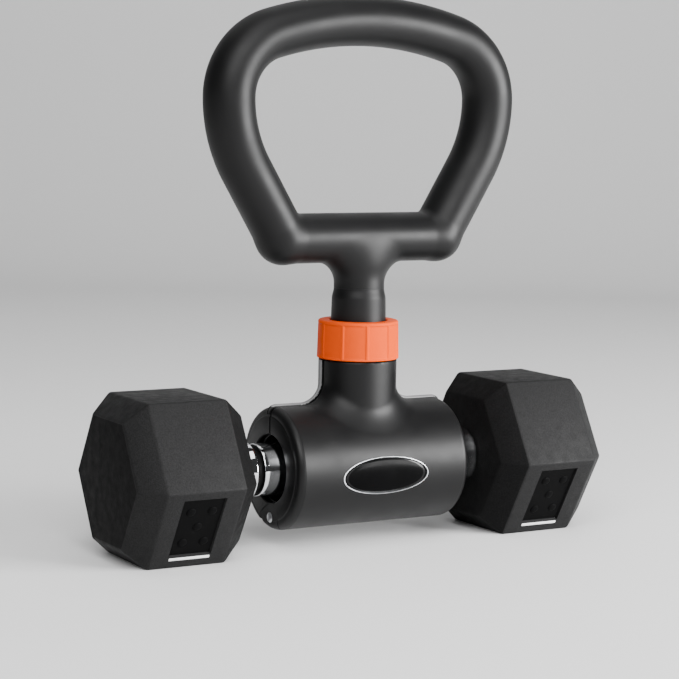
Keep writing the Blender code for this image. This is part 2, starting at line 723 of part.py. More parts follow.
def handle_flare_sections():
    """From the stem up into the crossbar, with a fillet on both sides."""
    fillet = 0.0110
    sections = [(0.1296, HANDLE_NECK_R, HANDLE_NECK_R)]
    for degrees in (0, 20, 40, 60, 80):
        angle = math.radians(degrees)
        half_x = HANDLE_NECK_R + fillet * (1 - math.cos(angle))
        sections.append((0.1318 + fillet * math.sin(angle), half_x, HANDLE_NECK_R + 0.0003 * degrees / 20))
    sections.append((0.1480, 0.0200, 0.0105))
    sections.append((0.1550, 0.0150, 0.0080))
    return sections


def handle_grip(surface):
    left = loop_half()
    right = [(-x, z, 180 - heading) for x, z, heading in left]
    path = [(x, z, heading + 180) for x, z, heading in reversed(left)][:-1]
    path += [(x, z, heading) for x, z, heading in right]
    handle = swept_grip("handle_grip", path, surface)
    corner = left[-1][0]
    crossbar = [(corner * share, CROSSBAR_Z, 0) for share in (1, 1 / 3, -1 / 3, -1)]
    join(handle, swept_grip("handle_crossbar", crossbar))
    join(handle, corner_ball("handle_left_corner", corner), corner_ball("handle_right_corner", -corner))
    join(handle, oval_loft("handle_flare", handle_flare_sections(), facets=28))
    cut(handle, rod("handle_core_bore", 0.12, 0.1518, STEM_CORE_R + GAP, "Z", (CLAMP_X, 0, 0), facets=32))


def build():
    clear_scene()
    surfaces = materials()
    dumbbell_bar(surfaces["chrome"])
    dumbbell_head(-1, "left", surfaces)
    dumbbell_head(1, "right", surfaces)
    front_shell(surfaces["shell"])
    rear_shell(surfaces["shell"])
    liner("front", -1, surfaces["liner"])
    liner("rear", 1, surfaces["liner"])
    badge_solid("badge_plate", 0.0297, 0.0311, 0.90, 0.0, surfaces["badge"])
    badge_solid("badge_bezel", 0.0297, 0.0313, 0.985, 0.925, surfaces["chrome"])
    hinge_pin(surfaces["chrome"])
    pin_screw(-1, "left", surfaces["chrome"])
    pin_screw(1, "right", surfaces["chrome"])
    torsion_spring(surfaces["spring"])
    for word, z in SCREW_LEVELS:
        anchor_screw(word, z, surfaces["steel"])
    stem_sleeve(surfaces["grip"])
    stem_core(surfaces["steel"])
    lock_collar(surfaces["collar"])
    collar_washer(surfaces["liner"])
    handle_grip(surfaces["grip"])


build()
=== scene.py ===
"""The looks of a hex dumbbell that a clamp-on loop handle turns into a kettlebell.

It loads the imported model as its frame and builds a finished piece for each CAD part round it. Lengths are
in metres. X runs along the dumbbell, -Y is the front and +Z is up.
"""

from math import cos, hypot, pi, radians, sin, sqrt

import bmesh
import bpy
import numpy as np
from mathutils import Matrix, Vector


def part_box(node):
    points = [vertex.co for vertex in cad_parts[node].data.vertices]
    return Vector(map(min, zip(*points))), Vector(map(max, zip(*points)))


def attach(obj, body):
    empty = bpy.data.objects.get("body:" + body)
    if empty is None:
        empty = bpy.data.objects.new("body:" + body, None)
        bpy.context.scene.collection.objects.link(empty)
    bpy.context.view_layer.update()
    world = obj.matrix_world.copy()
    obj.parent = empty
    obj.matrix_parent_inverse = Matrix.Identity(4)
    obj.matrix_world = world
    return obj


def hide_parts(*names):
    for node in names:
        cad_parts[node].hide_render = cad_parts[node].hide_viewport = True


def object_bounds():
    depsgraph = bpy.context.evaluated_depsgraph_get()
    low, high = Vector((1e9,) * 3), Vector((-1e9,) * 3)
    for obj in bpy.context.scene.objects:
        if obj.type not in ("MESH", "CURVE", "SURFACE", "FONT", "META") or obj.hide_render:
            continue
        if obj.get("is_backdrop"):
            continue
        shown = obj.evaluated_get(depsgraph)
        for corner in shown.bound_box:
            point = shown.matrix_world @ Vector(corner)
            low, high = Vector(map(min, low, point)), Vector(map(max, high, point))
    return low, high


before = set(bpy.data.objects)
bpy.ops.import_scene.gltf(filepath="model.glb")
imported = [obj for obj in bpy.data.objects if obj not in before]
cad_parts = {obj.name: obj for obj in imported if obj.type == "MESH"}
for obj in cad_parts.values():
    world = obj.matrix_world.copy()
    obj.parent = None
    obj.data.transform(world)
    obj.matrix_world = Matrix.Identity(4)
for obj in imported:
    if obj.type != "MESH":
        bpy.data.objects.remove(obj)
CAD_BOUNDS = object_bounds()

BODY = "handle_and_dumbbell"
REAR = "rear_half"
CARRIAGE = "collar_carriage"
RING = "collar"
SIDES = ((-1, "left"), (1, "right"))


def span(node, axis):
    """Where a CAD node starts and ends along an axis, 0 being X."""
    low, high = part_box(node)
    return low[axis], high[axis]


def middle(node, axis):
    return sum(span(node, axis)) / 2


# Places and sizes read from the frame
CLAMP_X = middle("front_shell", 0)
CLAMP_HALF = span("front_shell", 0)[1] - CLAMP_X
CLAMP_R = -span("front_shell", 1)[0]
NECK_TOP = span("front_shell", 2)[1]
BAR_Z = middle("dumbbell_bar", 2)
HINGE_Z = middle("hinge_pin", 2)
COLLAR_BOTTOM, COLLAR_TOP = span("lock_collar", 2)
COLLAR_R = span("lock_collar", 0)[1] - CLAMP_X
HEX_FLATS = span("right_rubber_head", 2)[1] - span("right_rubber_head", 2)[0]
HEAD_NEAR, HEAD_FAR = span("right_rubber_head", 0)
HANDLE_BOTTOM, HANDLE_TOP = span("handle_grip", 2)
ANCHOR_LEVELS = [middle(f"{word}_anchor_screw", 2) for word in ("upper", "lower")]

# Dumbbell
HEAD_CHAMFER = 0.011
CHAMFER_SCALE = 0.768
HEAD_EDGE = 0.0009
STUB_R = 0.0118
BAR_END_R = 0.0132
BAR_MIDDLE_R = 0.0167
GRIP_END = 0.054
GROOVE_END = 0.058
GROOVE_R = 0.0112
BAR_HALF = 0.118
DRIVE_PIN_X = 0.100
PLAQUE_LONG = 0.0215
PLAQUE_HIGH = 0.0338
PLAQUE_DEEP = 0.0012
PLAQUE_DOWN = 0.0218

# Clamp
PARTING = 0.00015
MOUTH_R = 0.0173
LINER_R = 0.0192
LINER_GAP = 0.0003
END_WALL = 0.0034
END_FACE_R = 0.0262
PAST_ENDS = 0.06
NECK_R = 0.0199
NECK_FILLET = 0.012
NECK_FRONT_FILLET = 0.0055
END_ROUND = 0.0037
HINGE_PIN_R = 0.0024
HINGE_BORE_R = 0.0026
KNUCKLE_R = 0.0060
KNUCKLE_LONG = 0.0046
FRONT_KNUCKLE_HALF = CLAMP_HALF - KNUCKLE_LONG - 0.0003
END_KNUCKLE_R = 0.0086
END_ROOM_R = 0.0092
SPRING_ROOM_R = 0.0049
SPRING_ROOM_HALF = 0.0405
SPRING_REACH = 0.0385
SPRING_LEG_ANGLE = 145
OPEN_LIMIT = radians(150)
SOCKET_R = 0.0146
SOCKET_GROOVE = (0.0650, 0.0706)
SOCKET_GROOVE_R = 0.0176

# Stem and handle
STEM_R = 0.0141
STEM_TOP_R = 0.0137
CORE_R = 0.0086
STEM_BOTTOM = 0.0630
FLANGE_R = 0.0172
FLANGE = (0.0653, 0.0702)
THREAD_R = 0.0160
THREAD_ROOT_R = THREAD_R - 0.0009
THREAD_BOTTOM = COLLAR_BOTTOM + 0.0003
THREAD_TOP = 0.1078
THREAD_LEAD = 0.006
THREAD_STARTS = 2
WASHER = (0.1089, 0.1101)
WASHER_BORE_R = 0.0147
WASHER_SEAT = 0.1105
COLLAR_PANELS = 10
GRIP_IN_PLANE = 0.0125
GRIP_DEPTH = 0.0142
HANDLE_NECK_R = 0.0128
CROSSBAR_Z = 0.1550
LOOP_TOP_Z = HANDLE_TOP - GRIP_IN_PLANE
# The loop from its top round to the arm: each bend's radius and the heading in degrees that it ends on
LOOP_BENDS = ((0.1820, 196.5), (0.0325, 270.0), (0.0690, 301.0))

# Camera: where it stands, how it is turned, and its lens
CAMERA_AT = Vector((-0.5516, -0.9477, 0.2261))
CAMERA_AZIMUTH = radians(-29.94)
CAMERA_ELEVATION = radians(6.40)
CAMERA_ROLL = radians(1.02)
CAMERA_LENS_MM = 115.4
SENSOR_MM = 36.0


# ---- meshes


def link(name, data):
    made = bpy.data.objects.new(name, data)
    bpy.context.scene.collection.objects.link(made)
    return made


def from_bmesh(name, maker):
    bmesh.ops.recalc_face_normals(maker, faces=maker.faces)
    mesh = bpy.data.meshes.new(name)
    maker.to_mesh(mesh)
    maker.free()
    return link(name, mesh)


def smooth_step(value, start, end):
    """Rises from 0 to 1 between start and end, with soft ends."""
    share = min(max((value - start) / (end - start), 0.0), 1.0)
    return share * share * (3 - 2 * share)


def lofted(name, rings, closed=False, capped=False, warped=False):
    """A solid over rings of points, one point being a tip. A warped one has its quads triangulated."""
    maker = bmesh.new()
    rings = [[maker.verts.new(point) for point in ring] for ring in rings]
    pairs = list(zip(rings, rings[1:]))
    if closed:
        pairs.append((rings[-1], rings[0]))
    for low, high in pairs:
        count = max(len(low), len(high))
        for i in range(count):
            j = (i + 1) % count
            corners = [low[i % len(low)], low[j % len(low)], high[j % len(high)], high[i % len(high)]]
            maker.faces.new(list(dict.fromkeys(corners)))
    if capped:
        maker.faces.new(rings[0])
        maker.faces.new(rings[-1])
    if warped:
        bmesh.ops.triangulate(maker, faces=[f for f in maker.faces if len(f.verts) == 4])
    return from_bmesh(name, maker)


def arc(centre, radius, start, end, steps=8):
    """Points (a, b) on an arc, with its angles in degrees."""
    angles = np.radians(np.linspace(start, end, steps + 1))
    return [(centre[0] + radius * cos(t), centre[1] + radius * sin(t)) for t in angles]


def turned(name, profile, along, centre, facets, hollow=False):
    """A turned solid. The profile is (place on the axis, radius) pairs, closed on itself if hollow."""
    rings = []
    for place, radius in profile:
        ring = []
        for i in range(facets if radius > 0 else 1):
            angle = 2 * pi * i / facets
            u, v = radius * cos(angle), radius * sin(angle)
            point = {"X": (place, u, v), "Y": (v, place, u), "Z": (u, v, place)}[along]
            ring.append(Vector(point) + Vector(centre))
        rings.append(ring)
    return lofted(name, rings, closed=hollow)


def rod(name, low, high, radius, along, centre, facets=64):
    return turned(name, [(low, 0), (low, radius), (high, radius), (high, 0)], along, centre, facets)


def box(name, low, high):
    size = Matrix.Diagonal((*(Vector(high) - Vector(low)), 1))
    maker = bmesh.new()
    bmesh.ops.create_cube(maker, size=1, matrix=Matrix.Translation((Vector(low) + Vector(high)) / 2) @ size)
    return from_bmesh(name, maker)


def swept(name, path, section):
    """A section of (outward, y) offsets run along an open path of (x, z) points."""
    rings = []
    for i, (x, z) in enumerate(path):
        before, after = path[max(i - 1, 0)], path[min(i + 1, len(path) - 1)]
        ahead = Vector((after[0] - before[0], 0, after[1] - before[1])).normalized()
        outward = Vector((-ahead.z, 0, ahead.x))
        rings.append([Vector((x, 0, z)) + outward * n + Vector((0, y, 0)) for n, y in section])
    return lofted(name, rings, capped=True, warped=True)


def boolean(target, tools, operation="DIFFERENCE"):
    """Cuts, joins or intersects the target with closed tool objects, then removes them."""
    for tool in tools:
        step = target.modifiers.new(tool.name, "BOOLEAN")
        step.operation = operation
        step.solver = "MANIFOLD"
        step.object = tool
    bake_modifiers(target)
    for tool in tools:
        bpy.data.objects.remove(tool)
    return target


def bake_modifiers(target):
    evaluated = target.evaluated_get(bpy.context.evaluated_depsgraph_get())
    mesh = bpy.data.meshes.new_from_object(evaluated)
    target.modifiers.clear()
    target.data = mesh


def bevel(target, width, segments=3, angle=30):
    """Rounds the edges that turn by more than an angle in degrees."""
    step = target.modifiers.new("edges", "BEVEL")
    step.width = width
    step.segments = segments
    step.limit_method = "ANGLE"
    step.angle_limit = radians(angle)
    bake_modifiers(target)
    return target


def copy_of(source, name):
    return link(name, source.data.copy())


def both_ends(end):
    """A profile whose other end mirrors the given one."""
    return [(-x, r) for x, r in reversed(end)] + end


def recolour(piece, surface, chosen):
    """Gives a piece a second material on the faces that are chosen."""
    piece.data.materials.append(surface)
    for face in piece.data.polygons:
        if chosen(face):
            face.material_index = 1


def dress(piece, body, surface, nodes=(), sharp=35):
    """Gives a piece its material, shading and place in the frame."""
    piece.data.materials.clear()
    piece.data.materials.append(surface)
    if piece.type == "MESH":
        piece.data.shade_smooth()
        piece.data.set_sharp_from_angle(angle=radians(sharp))
    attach(piece, body)
    if nodes:
        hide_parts(*nodes)
    return piece


# ---- blended surfaces


def round_union(a, b, radius):
    """Joins two distance fields with a fillet."""
    u, v = np.maximum(radius - a, 0), np.maximum(radius - b, 0)
    return np.maximum(np.minimum(a, b), radius) - np.hypot(u, v)


def round_overlap(a, b, radius):
    """Keeps what is inside both fields, with a rounded edge."""
    return -round_union(-a, -b, radius)


def onto_surface(field, points, rounds=6):
    """Moves points onto the surface where the field is 0."""
    nudge = 2e-5
    for _ in range(rounds):
        value = field(points)
        slope = np.empty_like(points)
        for axis in range(3):
            step = np.zeros(3)
            step[axis] = nudge
            slope[:, axis] = (field(points + step) - field(points - step)) / (2 * nudge)
        steep = np.maximum((slope**2).sum(1), 0.05)
        points = points - slope * (value / steep)[:, None]
    return points


def implicit_mesh(name, field, low, high, step, relax=4):
    """A closed quad mesh of the surface where the field is 0: one vertex for each cell it crosses."""
    axes = [np.arange(a, b + step, step) for a, b in zip(low, high)]
    grid = np.stack(np.meshgrid(*axes, indexing="ij"), axis=-1)
    inside = (field(grid.reshape(-1, 3)) < 0).reshape(grid.shape[:3])
    some, every = inside, inside
    for axis in range(3):
        some = np.delete(some, -1, axis) | np.delete(some, 0, axis)
        every = np.delete(every, -1, axis) & np.delete(every, 0, axis)
    crossed = some & ~every
    number = np.full(crossed.shape, -1)
    number[crossed] = np.arange(crossed.sum())
    points = grid[:-1, :-1, :-1][crossed] + step / 2

    faces = []
    for axis in range(3):
        u, v = np.eye(3, dtype=int)[[(axis + 1) % 3, (axis + 2) % 3]]
        first, second = np.delete(inside, -1, axis), np.delete(inside, 0, axis)
        cells = np.argwhere(first != second)
        ring = [number[tuple((cells - shift).T)] for shift in (u + v, v, 0 * u, u)]
        quads = np.stack(ring, axis=1)
        outward = first[tuple(cells.T)]
        quads[~outward] = quads[~outward][:, ::-1]
        faces.append(quads)
    faces = np.concatenate(faces)

    points = onto_surface(field, points)
    edges = np.concatenate([faces[:, [i, (i + 1) % 4]] for i in range(4)])
    degree = np.bincount(edges[:, 0], minlength=len(points))[:, None]
    for _ in range(relax):
        total = np.zeros_like(points)
        np.add.at(total, edges[:, 0], points[edges[:, 1]])
        points = onto_surface(field, 0.5 * points + 0.5 * total / degree, rounds=3)

    mesh = bpy.data.meshes.new(name)
    mesh.from_pydata(points.tolist(), [], faces.tolist())
    mesh.validate()
    return link(name, mesh)


# ---- materials


class Surface:
    """A Principled material with the few procedural layers that these parts share."""

    def __init__(self, title, colour, roughness, metallic=0.0, shine=0.5):
        self.material = bpy.data.materials.new(title)
        self.material.use_nodes = True
        self.nodes = self.material.node_tree.nodes
        self.shader = self.nodes["Principled BSDF"]
        looks = {"Roughness": roughness, "Metallic": metallic, "Specular IOR Level": shine}
        for name, value in {"Base Color": (*colour, 1), **looks}.items():
            self.shader.inputs[name].default_value = value
        self.place = self.nodes.new("ShaderNodeTexCoord").outputs["Object"]
        self.normal = None

    def link(self, source, target):
        self.material.node_tree.links.new(source, target)

    def pattern(self, kind, output, place=None, **settings):
        """An output of a node that works on object coordinates, or on others that are given."""
        node = self.nodes.new(f"ShaderNode{kind}")
        for name, value in settings.items():
            node.inputs[name].default_value = value
        self.link(place or self.place, node.inputs["Vector"])
        return node.outputs[output]

    def stretched(self, scale):
        """Object coordinates with their own scale along each axis."""
        return self.pattern("Mapping", "Vector", Scale=scale)

    def noise(self, scale, detail, place=None):
        return self.pattern("TexNoise", "Fac", place, Scale=scale, Detail=detail)

    def cells(self, scale):
        return self.pattern("TexVoronoi", "Distance", Scale=scale)

    def dull(self, scale, detail, low, high):
        """Drives the roughness between two values."""
        node = self.nodes.new("ShaderNodeMapRange")
        for name, value in (("From Min", 0.3), ("From Max", 0.7), ("To Min", low), ("To Max", high)):
            node.inputs[name].default_value = value
        self.link(self.noise(scale, detail), node.inputs["Value"])
        self.link(node.outputs["Result"], self.shader.inputs["Roughness"])

    def tint(self, scale, detail, dark, light):
        """Drives the colour between two colours."""
        node = self.nodes.new("ShaderNodeValToRGB")
        for element, position, colour in zip(node.color_ramp.elements, (0.3, 0.7), (dark, light)):
            element.position = position
            element.color = (*colour, 1)
        self.link(self.noise(scale, detail), node.inputs["Fac"])
        self.link(node.outputs["Color"], self.shader.inputs["Base Color"])

    def grain(self, scale, detail, height, strength):
        self.bump(self.noise(scale, detail), height, strength)

    def bump(self, source, height, strength):
        """Adds a layer of relief, its height in metres."""
        node = self.nodes.new("ShaderNodeBump")
        node.inputs["Strength"].default_value = strength
        node.inputs["Distance"].default_value = height
        self.link(source, node.inputs["Height"])
        if self.normal is not None:
            self.link(self.normal, node.inputs["Normal"])
        self.normal = node.outputs["Normal"]
        self.link(self.normal, self.shader.inputs["Normal"])


def scaled(colour, factor):
    return tuple(channel * factor for channel in colour)


def satin_plastic(name, colour, roughness, shine):
    """Moulded plastic: a fine spark-eroded grain, with slow changes in gloss from handling."""
    surface = Surface(name, colour, roughness, shine=shine)
    surface.tint(38, 3, scaled(colour, 0.88), scaled(colour, 1.12))
    surface.dull(55, 4, roughness - 0.05, roughness + 0.05)
    surface.grain(5200, 2, 0.00002, 0.30)
    surface.grain(95, 2, 0.00030, 0.06)
    return surface.material


def collar_plastic():
    """Orange nylon with a fine moulded grain."""
    colour = (0.70, 0.064, 0.0)
    surface = Surface("orange_nylon", colour, 0.46, shine=0.02)
    surface.tint(60, 3, scaled(colour, 0.93), scaled(colour, 1.0))
    surface.dull(140, 4, 0.40, 0.52)
    surface.grain(4200, 2, 0.00002, 0.25)
    return surface.material


def pebbled_rubber(name, grey, shine):
    """Moulded rubber: small closed cells with a dusty bloom on it."""
    colour = (grey, grey, 1.02 * grey)
    surface = Surface(name, colour, 0.62, shine=shine)
    surface.tint(1400, 3, scaled(colour, 0.64), scaled(colour, 1.36))
    surface.dull(210, 4, 0.54, 0.70)
    surface.bump(surface.cells(1500), 0.00016, 0.32)
    surface.grain(2600, 3, 0.00010, 0.30)
    return surface.material


def chromed_steel():
    """Polished chrome with fine turning marks and faint wipe marks."""
    surface = Surface("chrome", (0.80, 0.81, 0.83), 0.06, 1.0)
    surface.dull(170, 5, 0.035, 0.095)
    marks = surface.noise(1.0, 2, surface.stretched((3000, 20, 20)))
    surface.bump(marks, 0.000004, 0.02)
    return surface.material


def plated_steel():
    """Zinc plate, lighter and duller in small patches."""
    surface = Surface("zinc_plated_steel", (0.66, 0.67, 0.69), 0.36, 1.0)
    surface.tint(420, 4, (0.60, 0.61, 0.63), (0.74, 0.75, 0.77))
    surface.dull(600, 4, 0.30, 0.44)
    return surface.material


def blackened_steel():
    surface = Surface("black_oxide_steel", (0.045, 0.045, 0.050), 0.28, 1.0)
    surface.tint(500, 4, (0.030, 0.030, 0.034), (0.075, 0.075, 0.080))
    surface.dull(900, 3, 0.20, 0.36)
    return surface.material


def cast_iron():
    surface = Surface("cast_iron", (0.09, 0.09, 0.09), 0.62, 1.0)
    surface.tint(300, 5, (0.06, 0.055, 0.05), (0.13, 0.125, 0.12))
    surface.grain(900, 5, 0.0003, 0.5)
    return surface.material


def badge_gloss(name, shine):
    """Glossy black lacquer with faint fingerprints."""
    surface = Surface(name, (0.0020, 0.0020, 0.0022), 0.20, shine=shine)
    surface.tint(30, 3, (0.0015, 0.0015, 0.0016), (0.0026, 0.0026, 0.0028))
    surface.dull(240, 4, 0.16, 0.26)
    surface.grain(4000, 2, 0.00001, 0.15)
    return surface.material


def painted_white_highlight():
    # Painted highlight: the white strip under each plaque stands in for light caught along the recess's
    # lower lip.
    surface = Surface("white_painted_highlight", (0.82, 0.82, 0.82), 0.35)
    surface.tint(500, 4, (0.74, 0.74, 0.74), (0.88, 0.88, 0.88))
    surface.dull(700, 4, 0.28, 0.45)
    return surface.material


def studio_floor():
    surface = Surface("pale_floor", (0.84, 0.84, 0.84), 0.75, shine=0.1)
    surface.dull(3, 3, 0.70, 0.80)
    return surface.material


# ---- dumbbell


def hex_ring(x, flats):
    corner_r = flats / sqrt(3)
    angles = [radians(60 * i) for i in range(6)]
    return [(x, corner_r * cos(angle), BAR_Z + corner_r * sin(angle)) for angle in angles]


def face_frame(side):
    """The plaque's middle on a head's lower front face, and the face's own axes."""
    tilt = radians(30)
    down = Vector((0, sin(tilt), -cos(tilt)))
    outward = Vector((0, -cos(tilt), -sin(tilt)))
    head_middle = (HEAD_NEAR + HEAD_FAR) / 2
    origin = Vector((side * head_middle, -HEX_FLATS / sqrt(3), BAR_Z)) + down * PLAQUE_DOWN
    turn = Matrix((Vector((1, 0, 0)), outward, down)).transposed().to_4x4()
    return Matrix.Translation(origin) @ turn


def plaque_cutter(side):
    """The plaque's recess, whose walls lean out a little."""
    rings = []
    for depth, lean in ((-PLAQUE_DEEP, 0.0), (0.0, 0.0005), (PLAQUE_DEEP, 0.0012)):
        x, down = PLAQUE_LONG / 2 + lean, PLAQUE_HIGH / 2 + lean
        rings.append([(-x, depth, -down), (x, depth, -down), (x, depth, down), (-x, depth, down)])
    cutter = lofted("plaque_cutter", rings, capped=True)
    cutter.data.transform(face_frame(side))
    return cutter


def plaque(side, word, rubber):
    """The smooth floor of the recess, with five domes laid out as on a die for the moulded mark."""
    edge, thick = 0.0002, 0.0003
    radius, high, spread_x, spread_down = 0.0024, 0.0007, 0.0056, 0.0094
    maker = bmesh.new()
    size = Matrix.Diagonal((PLAQUE_LONG - 2 * edge, 1.5 * thick, PLAQUE_HIGH - 2 * edge, 1))
    place = face_frame(side) @ Matrix.Translation((0, thick / 4 - PLAQUE_DEEP, 0)) @ size
    bmesh.ops.create_cube(maker, size=1, matrix=place)
    for i, j in ((-1, -1), (-1, 1), (1, -1), (1, 1), (0, 0)):
        centre = (i * spread_x, thick - PLAQUE_DEEP, j * spread_down)
        dome = Matrix.Translation(centre) @ Matrix.Diagonal((radius, high, radius, 1))
        at_face = face_frame(side) @ dome
        bmesh.ops.create_uvsphere(maker, u_segments=32, v_segments=18, radius=1, matrix=at_face)
    dress(from_bmesh(f"{word}_head_plaque", maker), BODY, rubber, sharp=30)


def rubber_head(side, word, rubbers, strip_highlight):
    """A hexagonal head with painted shade on both ends and on its inner chamfer, with its plaque, and a
    strip that is a painted highlight.
    """
    rubber, shade_painted_rubber, smooth_rubber = rubbers
    small = HEX_FLATS * CHAMFER_SCALE
    stations = [
        (HEAD_NEAR, small),
        (HEAD_NEAR + HEAD_CHAMFER, HEX_FLATS),
        (HEAD_FAR - HEAD_CHAMFER, HEX_FLATS),
        (HEAD_FAR, small),
    ]
    rings = [hex_ring(side * x, flats) for x, flats in stations]
    head = bevel(lofted(f"{word}_hex_head", rings, capped=True), HEAD_EDGE, 3, 15)
    near, far = side * (HEAD_NEAR - 0.002), side * (HEAD_NEAR + 0.010)
    mouth = rod("mouth", near, far, STUB_R + 0.0004, "X", (0, 0, BAR_Z))
    boolean(head, [mouth, plaque_cutter(side)])
    dress(head, BODY, rubber, [f"{word}_rubber_head"], sharp=20)
    # Painted shade: the end faces and the inner chamfer take a darker rubber that stands in for the shade
    # on them.
    recolour(head, shade_painted_rubber, lambda face: abs(face.normal.x) > 0.999 or side * face.normal.x < -0.5)
    plaque(side, word, smooth_rubber)

    # The white strip below the plaque is a painted highlight, where light catches the recess's lower lip.
    half_long, half_high, proud = PLAQUE_LONG / 2, 0.00075, 0.00035
    strip = box(f"{word}_head_strip", (-half_long, -0.0006, -half_high), (half_long, proud, half_high))
    bevel(strip, 0.00028)
    strip_down = PLAQUE_HIGH / 2 + 0.0019
    strip.data.transform(face_frame(side) @ Matrix.Translation((0, 0, strip_down)))
    dress(strip, BODY, strip_highlight)


def bar_radius(x):
    """The bar swells from its ends to a thicker middle."""
    return BAR_MIDDLE_R + (BAR_END_R - BAR_MIDDLE_R) * smooth_step(abs(x), 0.022, 0.052)


def in_groove(face):
    """Whether a face of the bar is in the groove at an end of the grip, which is painted black as shade."""
    return GRIP_END - 0.0001 < abs(face.center.x) < GROOVE_END and face.normal.x * face.center.x > -0.9


def chrome_bar(chrome, steel, dark):
    """The swelling grip, the ring at each end of it and the pins that lock it into the heads."""
    edge, groove_end = 0.0006, GROOVE_END - 0.0004
    grip = [(x, bar_radius(x)) for x in np.linspace(-GRIP_END + edge, GRIP_END - edge, 60)]
    end = arc((GRIP_END - edge, BAR_END_R - edge), edge, 90, 0, 4)
    end += [(GRIP_END + 0.0001, GROOVE_R), (groove_end, GROOVE_R), (groove_end, STUB_R)]
    end += [(BAR_HALF, STUB_R), (BAR_HALF, 0)]
    profile = [(-x, r) for x, r in reversed(end)] + grip[1:-1] + end
    bar = turned("chrome_grip_bar", profile, "X", (0, 0, BAR_Z), 128)
    pin_places = [(side * DRIVE_PIN_X, 0, BAR_Z) for side, _ in SIDES]
    boolean(bar, [rod("pin_hole", -0.020, 0.0255, 0.0028, "Z", place, 32) for place in pin_places])
    dress(bar, BODY, chrome, ["dumbbell_bar"])
    # Painted shade: the grooves beside the grip take a dark paint that stands in for the shade in them.
    recolour(bar, dark, in_groove)
    for (side, word), place in zip(SIDES, pin_places):
        dress(head_collar(side, word), BODY, chrome, [f"{word}_bar_collar"])
        pin = rod(f"{word}_lock_pin", -0.0195, 0.025, 0.0025, "Z", place, 48)
        dress(bevel(pin, 0.0003, 2, 60), BODY, steel, [f"{word}_drive_pin"])


def head_collar(side, word):
    """The flared chrome ring between the bar's groove and a head."""
    inner_r, near, far = STUB_R + 0.0003, GROOVE_END, HEAD_NEAR - 0.0002
    outer_r, near_round, far_round, waist = 0.0146, 0.0009, 0.0006, 0.00055
    profile = [(near, inner_r)]
    profile += arc((near + near_round, outer_r - near_round), near_round, 180, 90, 5)
    for share in np.linspace(0.08, 0.92, 14):
        x = near + near_round + (far - near - 2 * near_round) * share
        profile.append((x, outer_r - waist * sin(pi * share)))
    profile += arc((far - far_round, outer_r - far_round), far_round, 90, 0, 4)
    profile += [(far, inner_r)]
    mirrored = [(side * x, r) for x, r in profile]
    return turned(f"{word}_chrome_collar", mirrored, "X", (0, 0, BAR_Z), 128, hollow=True)


# ---- clamp shells


def tee_field(points):
    """Distance from the clamp's outside: a barrel, and a neck that grows out of it with a fillet."""
    x, y, z = (points - (CLAMP_X, 0, 0)).T
    barrel = np.hypot(y, z - BAR_Z) - CLAMP_R
    from_axis = np.hypot(x, y)
    neck = np.maximum(from_axis - NECK_R, BAR_Z + 0.012 - z)
    sideways = (x / np.maximum(from_axis, 1e-6)) ** 2
    fillet = NECK_FRONT_FILLET + (NECK_FILLET - NECK_FRONT_FILLET) * sideways
    return round_overlap(round_union(barrel, neck, fillet), z - NECK_TOP, 0.0007)


def end_envelope(less=0.0):
    """Cuts the barrel to length, with a stepped ring and a round at each end."""
    step, clear = 0.0005 + less, 0.060
    round_x, round_r = CLAMP_HALF - step - END_ROUND, CLAMP_R - 0.0001 - END_ROUND
    end = [(round_x, clear)] + arc((round_x, round_r), END_ROUND, 90, 0, 10)
    face = CLAMP_HALF - less
    end += [(CLAMP_HALF - step, END_FACE_R + 0.0003), (face - 0.0002, END_FACE_R)]
    end += [(face, END_FACE_R - 0.0003), (face, 0)]
    return turned("end_envelope", both_ends(end), "X", (CLAMP_X, 0, BAR_Z), 192)


def clamp_outside():
    """The whole outside of the clamp, before it is parted."""
    reach, margin = CLAMP_HALF + 0.004, 0.003
    low = (CLAMP_X - reach, -CLAMP_R - margin, BAR_Z - CLAMP_R - margin)
    high = (CLAMP_X + reach, CLAMP_R + margin, NECK_TOP + margin)

    def capped(points):
        return np.maximum(tee_field(points), np.abs(points[:, 0] - CLAMP_X) - reach + 0.002)

    tee = implicit_mesh("clamp_outside", capped, low, high, 0.00085, relax=3)
    return boolean(tee, [end_envelope()], "INTERSECT")


def seam_path(side):
    """The clamp's outline in the parting plane, from the bar's mouth up to the neck's top."""
    corner = (CLAMP_HALF - END_ROUND - 0.0003, BAR_Z + CLAMP_R - END_ROUND)
    bend = (NECK_R + NECK_FILLET, BAR_Z + CLAMP_R + NECK_FILLET)
    path = [(CLAMP_HALF, BAR_Z + MOUTH_R - 0.001), (CLAMP_HALF, BAR_Z + END_FACE_R)]
    path += arc(corner, END_ROUND, 0, 90, 8)
    path += arc(bend, NECK_FILLET, 270, 180, 14)
    path += [(NECK_R, NECK_TOP - 0.0005), (NECK_R, NECK_TOP + 0.001)]
    return [(CLAMP_X + side * x, z) for x, z in path]


def seam_grooves():
    """The narrow slot between the two halves."""
    half, deep = 0.0007, 0.0018
    section = [(deep, -half), (deep, half), (-deep, half), (-deep, -half)]
    return [swept("seam_groove", seam_path(side), section) for side, _ in SIDES]


def seam_beads():
    """The raised lip that the rear half carries beside the seam."""
    high, wide, place = 0.0012, 0.0012, 0.0020
    section = [(high * cos(t), place + wide * sin(t)) for t in np.radians(range(0, 360, 24))]
    return [swept("seam_bead", seam_path(side)[2:-1], section) for side, _ in SIDES]


def paint_bead_highlight(shell, pale):
    """The lip beside the seam is painted paler than the shell: a painted highlight for light catching it.
    """
    centres = np.array([face.center for face in shell.data.polygons])
    on_bead = (tee_field(centres) > 0.0002) & (centres[:, 2] > BAR_Z + CLAMP_R - 2 * END_ROUND)
    recolour(shell, pale, lambda face: on_bead[face.index])


